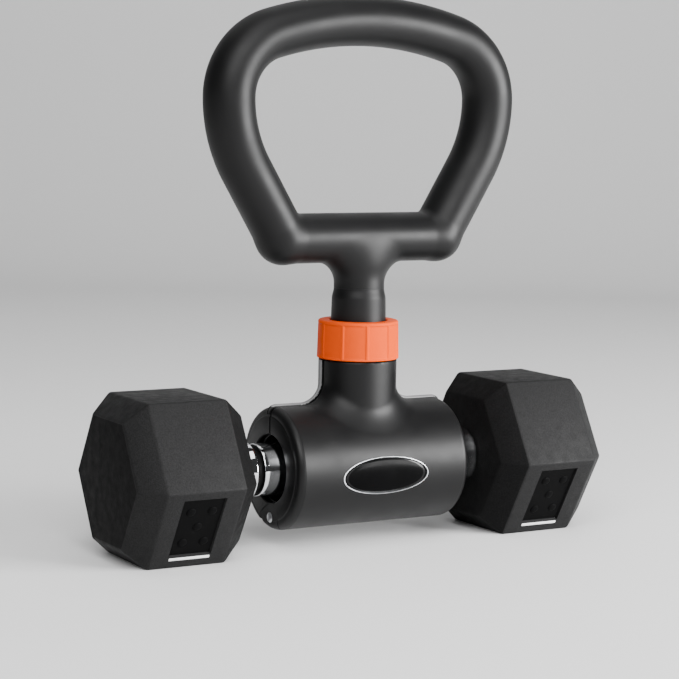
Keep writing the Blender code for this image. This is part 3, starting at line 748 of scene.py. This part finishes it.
def from_hinge(distance, degrees):
    """A (y, z) place at a distance and an angle from the hinge's axis, 90 degrees being straight up."""
    angle = radians(degrees)
    return distance * cos(angle), HINGE_Z + distance * sin(angle)


def hinge_rod(name, x_low, x_high, radius, facets=64):
    return rod(name, CLAMP_X + x_low, CLAMP_X + x_high, radius, "X", (0, 0, HINGE_Z), facets)


def bore_cutter():
    """The room for the liner, with a softened mouth at each end."""
    seat, soft = CLAMP_HALF - END_WALL, 0.0005
    end = [(seat, LINER_R + LINER_GAP), (seat, MOUTH_R), (CLAMP_HALF - soft, MOUTH_R)]
    end += [(CLAMP_HALF + soft, MOUTH_R + 2 * soft), (PAST_ENDS, MOUTH_R + 2 * soft), (PAST_ENDS, 0)]
    return turned("bore_cutter", both_ends(end), "X", (CLAMP_X, 0, BAR_Z), 160)


def socket_cutter(loose):
    """The neck's socket for the stem, with a groove for the stem's flange."""
    radius, groove_r, low, high = SOCKET_R + loose, SOCKET_GROOVE_R + loose, 0.055, 0.10
    groove_low, groove_high = SOCKET_GROOVE[0] - loose, SOCKET_GROOVE[1] + loose
    profile = [(low, 0), (low, radius), (groove_low, radius), (groove_low, groove_r)]
    profile += [(groove_high, groove_r), (groove_high, radius), (high, radius), (high, 0)]
    return turned("socket_cutter", profile, "Z", (CLAMP_X, 0, 0), 96)


def neck_pocket(side, front):
    """The open pocket between the neck's socket and its flared wall."""
    wall = arc((0.0319, 0.0830), 0.0142, 208, 265, 6)
    outline = [(0.0182, 0.0640), (0.0182, 0.0765)] + wall + [(0.0330, 0.0640)]
    rings = [[(CLAMP_X + side * x, y, z) for x, z in outline] for y in (-front * 0.001, front * 0.0050)]
    return lofted("neck_pocket", rings, capped=True)


def wall_room(side, front, near, reach):
    """The hollow in the barrel's wall between two ribs: part of a ring about the bar."""
    inner_r, outer_r = 0.0212, 0.0286
    section = ((near, inner_r), (reach, inner_r), (reach, outer_r), (near, outer_r))
    rings = []
    for angle in np.radians(np.linspace(90 + front * 2, 90 - front * 98, 25)):
        across, up = cos(angle), sin(angle)
        rings.append([(CLAMP_X + side * x, r * across, BAR_Z + r * up) for x, r in section])
    return lofted("wall_room", rings, capped=True)


def inner_cutters(front):
    """What both halves are hollowed out with. front is -1 or 1, the side that the half is on."""
    cutters = [bore_cutter(), socket_cutter(0 if front < 0 else 0.0006)]
    for side, _ in SIDES:
        cutters.append(neck_pocket(side, front))
        cutters.append(wall_room(side, front, 0.0185, 0.0315))
        cutters.append(wall_room(side, front, 0.0335, 0.0448))
    return cutters


def half_of(outside, name, front):
    """One half of the clamp's outside, cut off just short of the parting plane."""
    far = 0.08
    other_half = box("other_half", (-far, front * PARTING, -far), (far, -front * far, 2 * far))
    return boolean(copy_of(outside, name), [other_half])


def badge_strip(layers):
    """Rings of an oval that follows the barrel's front. Layers are (share of the oval, radius) pairs."""
    half_wide, half_arc, tilt, facets = 0.0249, 0.0097, radians(-4), 96
    rings = []
    for share, radius in layers:
        ring = []
        for i in range(facets if share > 0 else 1):
            angle = 2 * pi * i / facets
            lift = share * half_arc * sin(angle) / CLAMP_R + tilt
            x = CLAMP_X + share * half_wide * cos(angle)
            ring.append((x, -radius * cos(lift), BAR_Z + radius * sin(lift)))
        rings.append(ring)
    return rings


def badge_recess():
    """The oval pocket in the front half that holds the badge."""
    shares = (0, 0.25, 0.5, 0.75, 1.0)
    inside = [(share, CLAMP_R - 0.0016) for share in shares]
    outside = [(share, CLAMP_R + 0.0030) for share in reversed(shares)]
    return lofted("badge_recess", badge_strip(inside + outside), warped=True)


def badge(gloss, edge_gloss, steel):
    """A thin bright rim, a dark gap and a gloss plate whose edge falls away."""
    deep, plate_edge, falls_from = CLAMP_R - 0.0013, 0.935, 0.86

    def plate_height(share):
        return CLAMP_R - 0.00005 - 0.0008 * share**8

    dome = [(share, plate_height(share)) for share in np.linspace(plate_edge - 0.010, 0.0, 19)]
    rings = badge_strip([(0, deep), (0.5, deep), (plate_edge, deep)] + dome)
    plate = lofted("oval_badge_plate", rings, warped=True)
    dress(plate, BODY, gloss, ["badge_plate"])
    low, high = deep + 0.0001, plate_height(falls_from)
    recolour(plate, edge_gloss, lambda face: low < hypot(face.center.y, face.center.z - BAR_Z) < high)
    inner, outer = 0.962, 0.990
    rim = [(inner, deep), (outer, deep), (outer, CLAMP_R), (0.984, CLAMP_R + 0.00014)]
    rim += [(0.972, CLAMP_R + 0.00016), (0.964, CLAMP_R + 0.00006), (inner, CLAMP_R - 0.0002)]
    bezel = lofted("oval_badge_rim", badge_strip(rim), closed=True, warped=True)
    dress(bezel, BODY, steel, ["badge_bezel"])


def spring_leg_room():
    centre = Vector((CLAMP_X - SPRING_REACH, *from_hinge(0.0075, SPRING_LEG_ANGLE)))
    room = box("spring_leg_room", (-0.0012, -0.0041, -0.0012), (0.0012, 0.0041, 0.0012))
    turn = Matrix.Rotation(radians(SPRING_LEG_ANGLE), 4, "X")
    room.data.transform(Matrix.Translation(centre) @ turn)
    return room


def end_rooms():
    """Room in the front half for the rear half's knuckles to turn in."""
    near, far = FRONT_KNUCKLE_HALF, CLAMP_HALF + 0.001
    return [hinge_rod("end_room", side * near, side * far, END_ROOM_R) for side, _ in SIDES]


def hinge_bore():
    return hinge_rod("pin_hole", -PAST_ENDS, PAST_ENDS, HINGE_BORE_R, 48)


def front_half(outside, plastic):
    """The half that stays: the long knuckle, the spring's room and the badge's pocket."""
    shell = half_of(outside, "clamp_front_half", -1)
    boolean(shell, [hinge_rod("knuckle", -FRONT_KNUCKLE_HALF, FRONT_KNUCKLE_HALF, KNUCKLE_R)], "UNION")
    cutters = inner_cutters(-1) + seam_grooves() + end_rooms()
    cutters.append(hinge_rod("spring_room", -SPRING_ROOM_HALF, SPRING_ROOM_HALF, SPRING_ROOM_R))
    for low_y, high_y, low_z in ((-0.0026, 0.0001, 0.0180), (0, 0.0070, HINGE_Z)):
        low = (CLAMP_X - SPRING_ROOM_HALF, low_y, low_z)
        cutters.append(box("spring_throat", low, (CLAMP_X + SPRING_ROOM_HALF, high_y, 0.0230)))
    cutters += [spring_leg_room(), hinge_bore(), badge_recess()]
    cutters += [rod("screw_hole", -0.0188, 0, 0.0018, "Y", (CLAMP_X, 0, z), 32) for z in ANCHOR_LEVELS]
    boolean(shell, cutters)
    dress(shell, BODY, plastic, ["front_shell"])


def back_relief():
    """Clears the swinging half of the front one's round back, as it lies when the clamp is open."""
    swing = OPEN_LIMIT + pi / 2
    drop = BAR_Z - HINGE_Z
    centre = (CLAMP_X, drop * cos(swing), HINGE_Z + drop * sin(swing))
    return rod("back_relief", -PAST_ENDS, PAST_ENDS, CLAMP_R + 0.0004, "X", centre, 128)


def rear_knuckles():
    """The web and the knuckle at each end of the rear half."""
    inner, outer = CLAMP_HALF - KNUCKLE_LONG, CLAMP_HALF - 0.0004
    near = 0.0030
    reach = [(near, 27), (0.0090, 27), (0.0090, 45), (0.0082, 60), (0.00745, 75), (0.0073, 87), (near, 87)]
    outline = [from_hinge(distance, degrees) for distance, degrees in reach]
    inside = end_envelope(0.00004)
    boolean(inside, [rod("barrel", -0.2, 0.2, CLAMP_R - 0.00004, "X", (0, 0, BAR_Z), 192)], "INTERSECT")
    made = []
    for side, _ in SIDES:
        rings = [[(CLAMP_X + side * x, y, z) for y, z in outline] for x in (inner, outer)]
        made.append(lofted("bridge", rings, capped=True))
        knuckle = hinge_rod("end_knuckle", side * inner, side * outer, END_KNUCKLE_R, 96)
        made.append(boolean(knuckle, [copy_of(inside, "inside")], "INTERSECT"))
    bpy.data.objects.remove(inside)
    return made


def rear_half(outside, plastic, pale):
    """The half that swings away, with the lip beside the seam and a knuckle at each end."""
    shell = half_of(outside, "clamp_rear_half", 1)
    boolean(shell, seam_beads(), "UNION")
    boolean(shell, [back_relief()] + seam_grooves())
    boolean(shell, rear_knuckles(), "UNION")
    cutters = inner_cutters(1) + [hinge_bore()]
    for side, _ in SIDES:
        seat, past = side * (CLAMP_HALF - 0.0023), side * (CLAMP_HALF + 0.001)
        cutters.append(hinge_rod("screw_seat", seat, past, 0.0030, 48))
    boolean(shell, cutters)
    dress(shell, REAR, plastic, ["rear_shell"])
    # Painted highlight on the lip beside the seam.
    paint_bead_highlight(shell, pale)


def trough_liner(name, front, body, node, plastic):
    """The smooth half trough, with a rounded lip along each edge."""
    long, soft = CLAMP_HALF - END_WALL - LINER_GAP, 0.0006
    inner_r = MOUTH_R - 0.0001
    profile = [(-long, LINER_R), (long, LINER_R), (long, inner_r + soft), (long - soft, inner_r)]
    profile += [(-long + soft, inner_r), (-long, inner_r + soft)]
    liner = turned(name, profile, "X", (CLAMP_X, 0, BAR_Z), 160, hollow=True)
    cutters = [box("other_half", (-0.08, front * 2 * PARTING, 0), (0.09, -front * 0.05, 0.08))]
    cutters += [back_relief()] if front > 0 else end_rooms()
    boolean(liner, cutters)
    dress(liner, body, plastic, [node])


# ---- hinge, spring and screws


def slot(centre, size):
    """The bar that cuts a screw's drive slot, given as a middle and half sizes."""
    return box("slot", Vector(centre) - Vector(size), Vector(centre) + Vector(size))


def hinge_pin(chrome):
    half = CLAMP_HALF - 0.0026
    pin = hinge_rod("chrome_hinge_pin", -half, half, HINGE_PIN_R)
    ends = half - 0.006, half + 0.001
    holes = [hinge_rod("thread", side * ends[0], side * ends[1], 0.0015, 32) for side, _ in SIDES]
    dress(boolean(pin, holes), BODY, chrome, ["hinge_pin"])


def hinge_screws(steel):
    """A domed, slotted screw in each end of the hinge pin."""
    tip, seat, face = 0.0425, CLAMP_HALF - 0.0022, CLAMP_HALF - 0.0002
    shank_r, head_r, top = 0.0012, 0.0026, face + 0.0004
    for side, word in SIDES:
        profile = [(tip, 0), (tip, shank_r), (seat, shank_r), (seat, head_r), (face - 0.0004, head_r)]
        profile += [(top - 0.0006 * (r / head_r) ** 2, r) for r in (0.0023, 0.0018, 0.0012, 0.0006)]
        profile += [(top, 0)]
        mirrored = [(side * x, r) for x, r in profile]
        screw = turned(f"{word}_hinge_screw", mirrored, "X", (CLAMP_X, 0, HINGE_Z), 64)
        slot_at = (CLAMP_X + side * top, 0, HINGE_Z)
        boolean(screw, [slot(slot_at, (0.0010, 0.00035, 0.0019))])
        dress(screw, BODY, steel, [f"{word}_pin_screw"])


def anchor_screws(steel):
    """The two cross-slotted screws that hold the stem in the front half's neck."""
    tip, seat, top = -0.0182, 0.0090, 0.0118
    for word, z in zip(("upper", "lower"), ANCHOR_LEVELS):
        profile = [(tip, 0), (tip, 0.0012), (seat, 0.0014), (seat, 0.0034)]
        profile += arc((0.0104, 0.0020), 0.0014, 90, 20, 6) + [(top, 0)]
        screw = turned(f"{word}_stem_screw", profile, "Y", (CLAMP_X, 0, z), 48)
        drive = (CLAMP_X, top, z)
        boolean(screw, [slot(drive, (0.0018, 0.0012, 0.00035)), slot(drive, (0.00036, 0.00121, 0.0018))])
        dress(screw, BODY, steel, [f"{word}_anchor_screw"])


def coil_spring(metal):
    """The hinge's coil, with one leg in the front half and one against the rear half."""
    turns, per_turn, mean_r, wire_r = 12, 28, 0.0038, 0.0008
    first, last = SPRING_LEG_ANGLE, 35
    sweep = 360 * turns + last - first
    points = [(-SPRING_REACH, *from_hinge(far, first)) for far in (0.0106, 0.0085, 0.0062)]
    for i in range(turns * per_turn + 1):
        share = i / (turns * per_turn)
        points.append((SPRING_REACH * (2 * share - 1), *from_hinge(mean_r, first + sweep * share)))
    points.append((SPRING_REACH, *from_hinge(0.0058, last)))
    curve = bpy.data.curves.new("hinge_coil_spring", "CURVE")
    curve.dimensions = "3D"
    curve.bevel_depth = wire_r
    curve.bevel_resolution = 4
    curve.use_fill_caps = True
    line = curve.splines.new("POLY")
    line.points.add(len(points) - 1)
    for point, (x, y, z) in zip(line.points, points):
        point.co = (CLAMP_X + x, y, z, 1)
    spring = link("hinge_coil_spring", curve)
    mesh = bpy.data.meshes.new_from_object(spring.evaluated_get(bpy.context.evaluated_depsgraph_get()))
    bpy.data.objects.remove(spring)
    dress(link("hinge_coil_spring", mesh), BODY, metal, ["torsion_spring"], sharp=60)


# ---- stem, collar and handle


def stem_cutters():
    places = [(CLAMP_X, 0, z) for z in ANCHOR_LEVELS]
    ways = [rod("screw_way", -0.02, 0.02, 0.0018, "Y", place, 32) for place in places]
    return ways + [rod("head_way", 0.0086, 0.02, 0.0038, "Y", place, 48) for place in places]


def thread_radius(z, turn):
    """The thread's radius at a height and a share of a turn, with ridges that fade out at both ends."""
    phase = (THREAD_STARTS * (z / THREAD_LEAD) - THREAD_STARTS * turn) % 1.0
    fade = min(1.0, (z - THREAD_BOTTOM) / 0.0012, (THREAD_TOP - z) / 0.0008 + 0.05)
    ridge = min(1.0, max(0.0, 2.2 * (0.5 - abs(phase - 0.5)) * 2 - 0.5))
    return THREAD_ROOT_R + (THREAD_R - THREAD_ROOT_R) * ridge * fade


def uneven_ring(name, levels, facets, radius_at):
    """An upright hollow solid. radius_at takes a level's height and radius, and a share of a turn."""
    rings = []
    for level in levels:
        ring = []
        for i in range(facets):
            angle, radius = 2 * pi * i / facets, radius_at(*level, i / facets)
            ring.append((CLAMP_X + radius * cos(angle), radius * sin(angle), level[0]))
        rings.append(ring)
    return lofted(name, rings, closed=True, warped=True)


def stem_tube(plastic):
    """The tube under the handle: flange, plain length, two-start thread, plain length and cone."""
    inner, (flange_low, flange_high) = CORE_R + 0.0003, FLANGE
    lower = [(STEM_BOTTOM, inner), (STEM_BOTTOM, STEM_R), (flange_low, STEM_R), (flange_low, FLANGE_R)]
    lower += [(flange_high, FLANGE_R), (flange_high, STEM_R), (COLLAR_BOTTOM, STEM_R)]
    lower += [(THREAD_BOTTOM, THREAD_ROOT_R)]
    threaded = [(z, None) for z in np.linspace(THREAD_BOTTOM + 0.0003, THREAD_TOP, 72)]
    cone_low, cone_high = 0.1240, HANDLE_BOTTOM - 0.00004
    upper = [(0.1085, STEM_R)]
    for share in np.linspace(0, 1, 13):
        radius = STEM_TOP_R + (HANDLE_NECK_R - STEM_TOP_R) * smooth_step(share, 0, 1)
        upper.append((cone_low + (cone_high - cone_low) * share, radius))
    upper.append((cone_high, inner))

    def radius_at(z, radius, turn):
        return thread_radius(z, turn) if radius is None else radius

    sleeve = uneven_ring("stem_tube", lower + threaded + upper, 112, radius_at)
    dress(boolean(sleeve, stem_cutters()), BODY, plastic, ["stem_sleeve"])


def stem_core(steel):
    """The steel tube inside the stem, which ties the handle to the clamp."""
    low, high, inner_r = 0.0600, 0.1515, 0.0060
    profile = [(low, inner_r), (low, CORE_R), (high, CORE_R), (high, inner_r)]
    core = turned("steel_stem_core", profile, "Z", (CLAMP_X, 0, 0), 64, hollow=True)
    dress(boolean(core, stem_cutters()), BODY, steel, ["stem_core"])


def panel_depth(share, z, radius):
    """How far a finger panel is sunk at a share of the way across it, with a rib at its start."""
    rib, sunk, flattened = 0.07, 0.00035, 0.3
    rim_low, rim_high = COLLAR_BOTTOM + 0.0009, COLLAR_TOP - 0.0014
    across = smooth_step(share, rib, rib + 0.03) * (1 - smooth_step(share, 0.98, 1.0))
    above_rim = smooth_step(z, rim_low - 0.0004, rim_low + 0.0004)
    along = above_rim * (1 - smooth_step(z, rim_high - 0.0006, rim_high))
    half = pi / COLLAR_PANELS
    flat = radius * (1 - cos(half) / cos(half * (2 * (share - rib) / (1 - rib) - 1)))
    return across * along * (sunk + flattened * max(flat, 0))


def ring_outside():
    """The lock ring's outside as (height, radius) pairs: rounded ends and a slight taper."""
    bottom_round, top_round, taper = 0.0005, 0.0009, 0.0005
    bottom_centre = (COLLAR_R - bottom_round, COLLAR_BOTTOM + bottom_round)
    top_centre = (COLLAR_R - taper - top_round, COLLAR_TOP - top_round)
    outline = [(z, r) for r, z in arc(bottom_centre, bottom_round, -90, 0, 6)]
    for z in np.linspace(COLLAR_BOTTOM + 0.0006, COLLAR_TOP - 0.0010, 44):
        outline.append((z, COLLAR_R - taper * (z - COLLAR_BOTTOM) / (COLLAR_TOP - COLLAR_BOTTOM)))
    return outline + [(z, r) for r, z in arc(top_centre, top_round, 0, 90, 8)]


def lock_ring(plastic):
    """The orange ring nut: ten shallow finger panels between narrow ribs."""
    per_panel, edge = 44, 0.0004
    bore, neck_bore = THREAD_R + 0.0004, STEM_R + 0.0005
    inside = [(COLLAR_TOP, neck_bore + edge), (COLLAR_TOP - edge, neck_bore), (WASHER_SEAT, neck_bore)]
    inside += [(WASHER_SEAT, bore), (COLLAR_BOTTOM + edge, bore), (COLLAR_BOTTOM, bore + edge)]

    def radius_at(z, radius, turn):
        if radius <= bore + edge:
            return radius
        return radius - panel_depth(turn * COLLAR_PANELS % 1, z, radius)

    ring = uneven_ring("orange_lock_ring", ring_outside() + inside, COLLAR_PANELS * per_panel, radius_at)
    dress(ring, RING, plastic, ["lock_collar"])


def slip_washer(liner):
    """The slip ring that the lock ring turns on, which rises with it."""
    low, high = WASHER
    outer_r = THREAD_R + 0.0001
    profile = [(low, WASHER_BORE_R), (low, outer_r), (high, outer_r), (high, WASHER_BORE_R)]
    washer = turned("slip_washer", profile, "Z", (CLAMP_X, 0, 0), 96, hollow=True)
    dress(washer, CARRIAGE, liner, ["collar_washer"])


def arc_distance(x, z, centre, radius, start, end):
    """Distance to an arc in the loop's plane, or a large number beside it."""
    angle = np.degrees(np.arctan2(z - centre[1], x - centre[0]))
    ahead = (angle - start) % 360
    return np.where(ahead <= end - start, np.abs(np.hypot(x - centre[0], z - centre[1]) - radius), 1.0)


def segment_distance(x, z, a, b):
    ahead = np.array(b) - np.array(a)
    share = np.clip(((x - a[0]) * ahead[0] + (z - a[1]) * ahead[1]) / (ahead @ ahead), 0, 1)
    return np.hypot(x - a[0] - share * ahead[0], z - a[1] - share * ahead[1])


def loop_arcs():
    """The left half of the loop: (centre, radius, start, end) arcs, and the ends of the straight arm."""
    x, z, heading = 0.0, LOOP_TOP_Z, 180.0
    arcs = []
    for radius, end_heading in LOOP_BENDS:
        turn = radians(heading)
        centre = (x - radius * sin(turn), z + radius * cos(turn))
        arcs.append((centre, radius, heading - 90, end_heading - 90))
        heading = end_heading
        turn = radians(heading)
        x, z = centre[0] + radius * sin(turn), centre[1] - radius * cos(turn)
    straight = (CROSSBAR_Z - z) / sin(turn)
    corner = (x + straight * cos(turn), CROSSBAR_Z)
    return arcs, (x, z), corner


LOOP_ARCS, ARM_TOP, ARM_CORNER = loop_arcs()


def oval_field(distance, y):
    """Distance from the grip's oval section, about right near its surface."""
    return (np.hypot(distance / GRIP_IN_PLANE, y / GRIP_DEPTH) - 1) * GRIP_IN_PLANE


def handle_field(points):
    """Distance from the handle's surface: a loop, a crossbar and a short neck, filleted together."""
    x, y, z = (points - (CLAMP_X, 0, 0)).T
    left = -np.abs(x)
    loop = segment_distance(left, z, ARM_TOP, ARM_CORNER)
    for centre, radius, start, end in LOOP_ARCS:
        loop = np.minimum(loop, arc_distance(left, z, centre, radius, start, end))
    bar = segment_distance(x, z, ARM_CORNER, (-ARM_CORNER[0], ARM_CORNER[1]))
    corner_fillet, neck_fillet, neck_end_round = 0.0022, 0.0115, 0.009
    grip = round_union(oval_field(loop, y), oval_field(bar, y), corner_fillet)
    neck = round_overlap(np.hypot(x, y) - HANDLE_NECK_R, z - (CROSSBAR_Z - 0.0060), neck_end_round)
    return np.maximum(round_union(grip, neck, neck_fillet), HANDLE_BOTTOM - 0.004 - z)


def loop_handle(plastic):
    """The handle's one moulding, bored for the stem's core."""
    low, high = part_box("handle_grip")
    margin = Vector((0.004, 0.004, 0.008))
    loop = implicit_mesh("loop_handle", handle_field, low - margin, high + margin, 0.00115, relax=4)
    below = box("below", (-0.1, -0.1, 0.1), (0.1, 0.1, HANDLE_BOTTOM))
    bore = rod("core_bore", 0.11, 0.1518, CORE_R + 0.0003, "Z", (CLAMP_X, 0, 0))
    boolean(loop, [below, bore])
    dress(loop, BODY, plastic, ["handle_grip"], sharp=50)


# ---- studio


def direction(azimuth, elevation):
    """The way from the object to a place round it, with angles in radians."""
    level = cos(elevation)
    return Vector((sin(azimuth) * level, -cos(azimuth) * level, sin(elevation)))


def area_light(name, azimuth, elevation, distance, size, watts):
    """A softbox that points at the lock ring. Azimuth 0 is straight in front and 90 is from the right."""
    away = direction(radians(azimuth), radians(elevation))
    data = bpy.data.lights.new(name, "AREA")
    data.shape = "RECTANGLE"
    data.size, data.size_y = size
    data.energy = watts
    light = link(name, data)
    light.location = Vector((0, 0, 0.11)) + away * distance
    light.rotation_euler = away.to_track_quat("Z", "Y").to_euler()


def backdrop():
    """A pale seamless sheet: a floor that curves up into a wall behind."""
    near, floor_end, bend, top, half_wide = -4.0, 1.4, 0.8, 3.5, 5.0
    profile = [(near, 0.0), (floor_end, 0.0)]
    profile += arc((floor_end, bend), bend, -90, 0, 24)[1:] + [(floor_end + bend, top)]
    maker = bmesh.new()
    rows = [[maker.verts.new((x, y, z)) for x in (-half_wide, half_wide)] for y, z in profile]
    for low, high in zip(rows, rows[1:]):
        maker.faces.new([low[0], low[1], high[1], high[0]])
    sheet = from_bmesh("backdrop", maker)
    sheet.data.transform(Matrix.Rotation(CAMERA_AZIMUTH, 4, "Z"))
    sheet.data.materials.append(studio_floor())
    sheet.data.shade_smooth()
    sheet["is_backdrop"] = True


def studio():
    backdrop()
    world = bpy.data.worlds.new("studio")
    world.use_nodes = True
    background = world.node_tree.nodes["Background"]
    background.inputs["Color"].default_value = (0.60, 0.61, 0.62, 1)
    background.inputs["Strength"].default_value = 0.07
    bpy.context.scene.world = world
    area_light("key", azimuth=44, elevation=10, distance=1.4, size=(0.90, 0.56), watts=61)
    area_light("top", azimuth=-10, elevation=72, distance=1.5, size=(1.2, 0.9), watts=10)
    area_light("front_fill", azimuth=-34, elevation=36, distance=2.0, size=(1.7, 1.1), watts=46)
    area_light("back_wash", azimuth=170, elevation=60, distance=1.8, size=(2.0, 0.6), watts=5)


def camera():
    back = direction(CAMERA_AZIMUTH, CAMERA_ELEVATION)
    right = Vector((cos(CAMERA_AZIMUTH), sin(CAMERA_AZIMUTH), 0))
    up = back.cross(right)
    across = right * cos(CAMERA_ROLL) + up * sin(CAMERA_ROLL)
    upward = up * cos(CAMERA_ROLL) - right * sin(CAMERA_ROLL)
    data = bpy.data.cameras.new("camera")
    data.lens = CAMERA_LENS_MM
    data.sensor_width = SENSOR_MM
    made = link("camera", data)
    made.matrix_world = Matrix((across, upward, back)).transposed().to_4x4()
    made.location = CAMERA_AT
    bpy.context.scene.camera = made


# ---- assembly


def carried_over(iron):
    """The dumbbell's cores show nowhere, so the CAD solids stay, with a casting's surface."""
    for node in ("left_iron_core", "right_iron_core"):
        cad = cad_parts[node]
        cad.data.materials.clear()
        cad.data.materials.append(iron)


def dumbbell(chrome, steel):
    # Painted shade for the bar's grooves.
    painted_groove_shade = satin_plastic("black_shade_painted_groove", (0.003, 0.003, 0.0031), 0.50, 0.15)
    chrome_bar(chrome, steel, painted_groove_shade)
    # The white strip under each plaque is a painted highlight.
    rubber, strip_highlight = pebbled_rubber("pebbled_rubber", 0.0105, 0.12), painted_white_highlight()
    # A darker rubber that is painted shade on the heads' ends and inner chamfers.
    shade_painted_rubber = pebbled_rubber("head_painted_shade_rubber", 0.0055, 0.05)
    smooth_rubber = satin_plastic("smooth_rubber", (0.0018, 0.0018, 0.0019), 0.60, 0.04)
    for side, word in SIDES:
        rubber_head(side, word, (rubber, shade_painted_rubber, smooth_rubber), strip_highlight)


def clamp(trough, chrome, steel):
    shell = satin_plastic("black_shell_plastic", (0.0035, 0.0035, 0.0037), 0.43, 0.22)
    # Painted highlight: a paler plastic for the lip beside the seam, standing in for light along it.
    pale = satin_plastic("lip_painted_highlight_plastic", (0.150, 0.150, 0.153), 0.40, 0.30)
    outside = clamp_outside()
    front_half(outside, shell)
    rear_half(outside, shell, pale)
    bpy.data.objects.remove(outside)
    trough_liner("front_trough_liner", -1, BODY, "front_liner", trough)
    trough_liner("rear_trough_liner", 1, REAR, "rear_liner", trough)
    badge(badge_gloss("gloss_black_badge", 0.035), badge_gloss("badge_edge_gloss", 0.20), steel)
    hinge_pin(chrome)
    hinge_screws(steel)
    anchor_screws(steel)
    coil_spring(blackened_steel())


def handle(trough, steel):
    grip = satin_plastic("black_grip_plastic", (0.0040, 0.0040, 0.0042), 0.46, 0.22)
    stem_tube(grip)
    stem_core(steel)
    lock_ring(collar_plastic())
    slip_washer(trough)
    loop_handle(grip)


def assemble():
    trough = satin_plastic("gloss_trough_plastic", (0.006, 0.006, 0.0063), 0.22, 0.35)
    chrome, steel = chromed_steel(), plated_steel()
    dumbbell(chrome, steel)
    clamp(trough, chrome, steel)
    handle(trough, steel)
    carried_over(cast_iron())


studio()
camera()
assemble()

plain = [[list(corner) for corner in bounds] for bounds in (CAD_BOUNDS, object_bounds())]
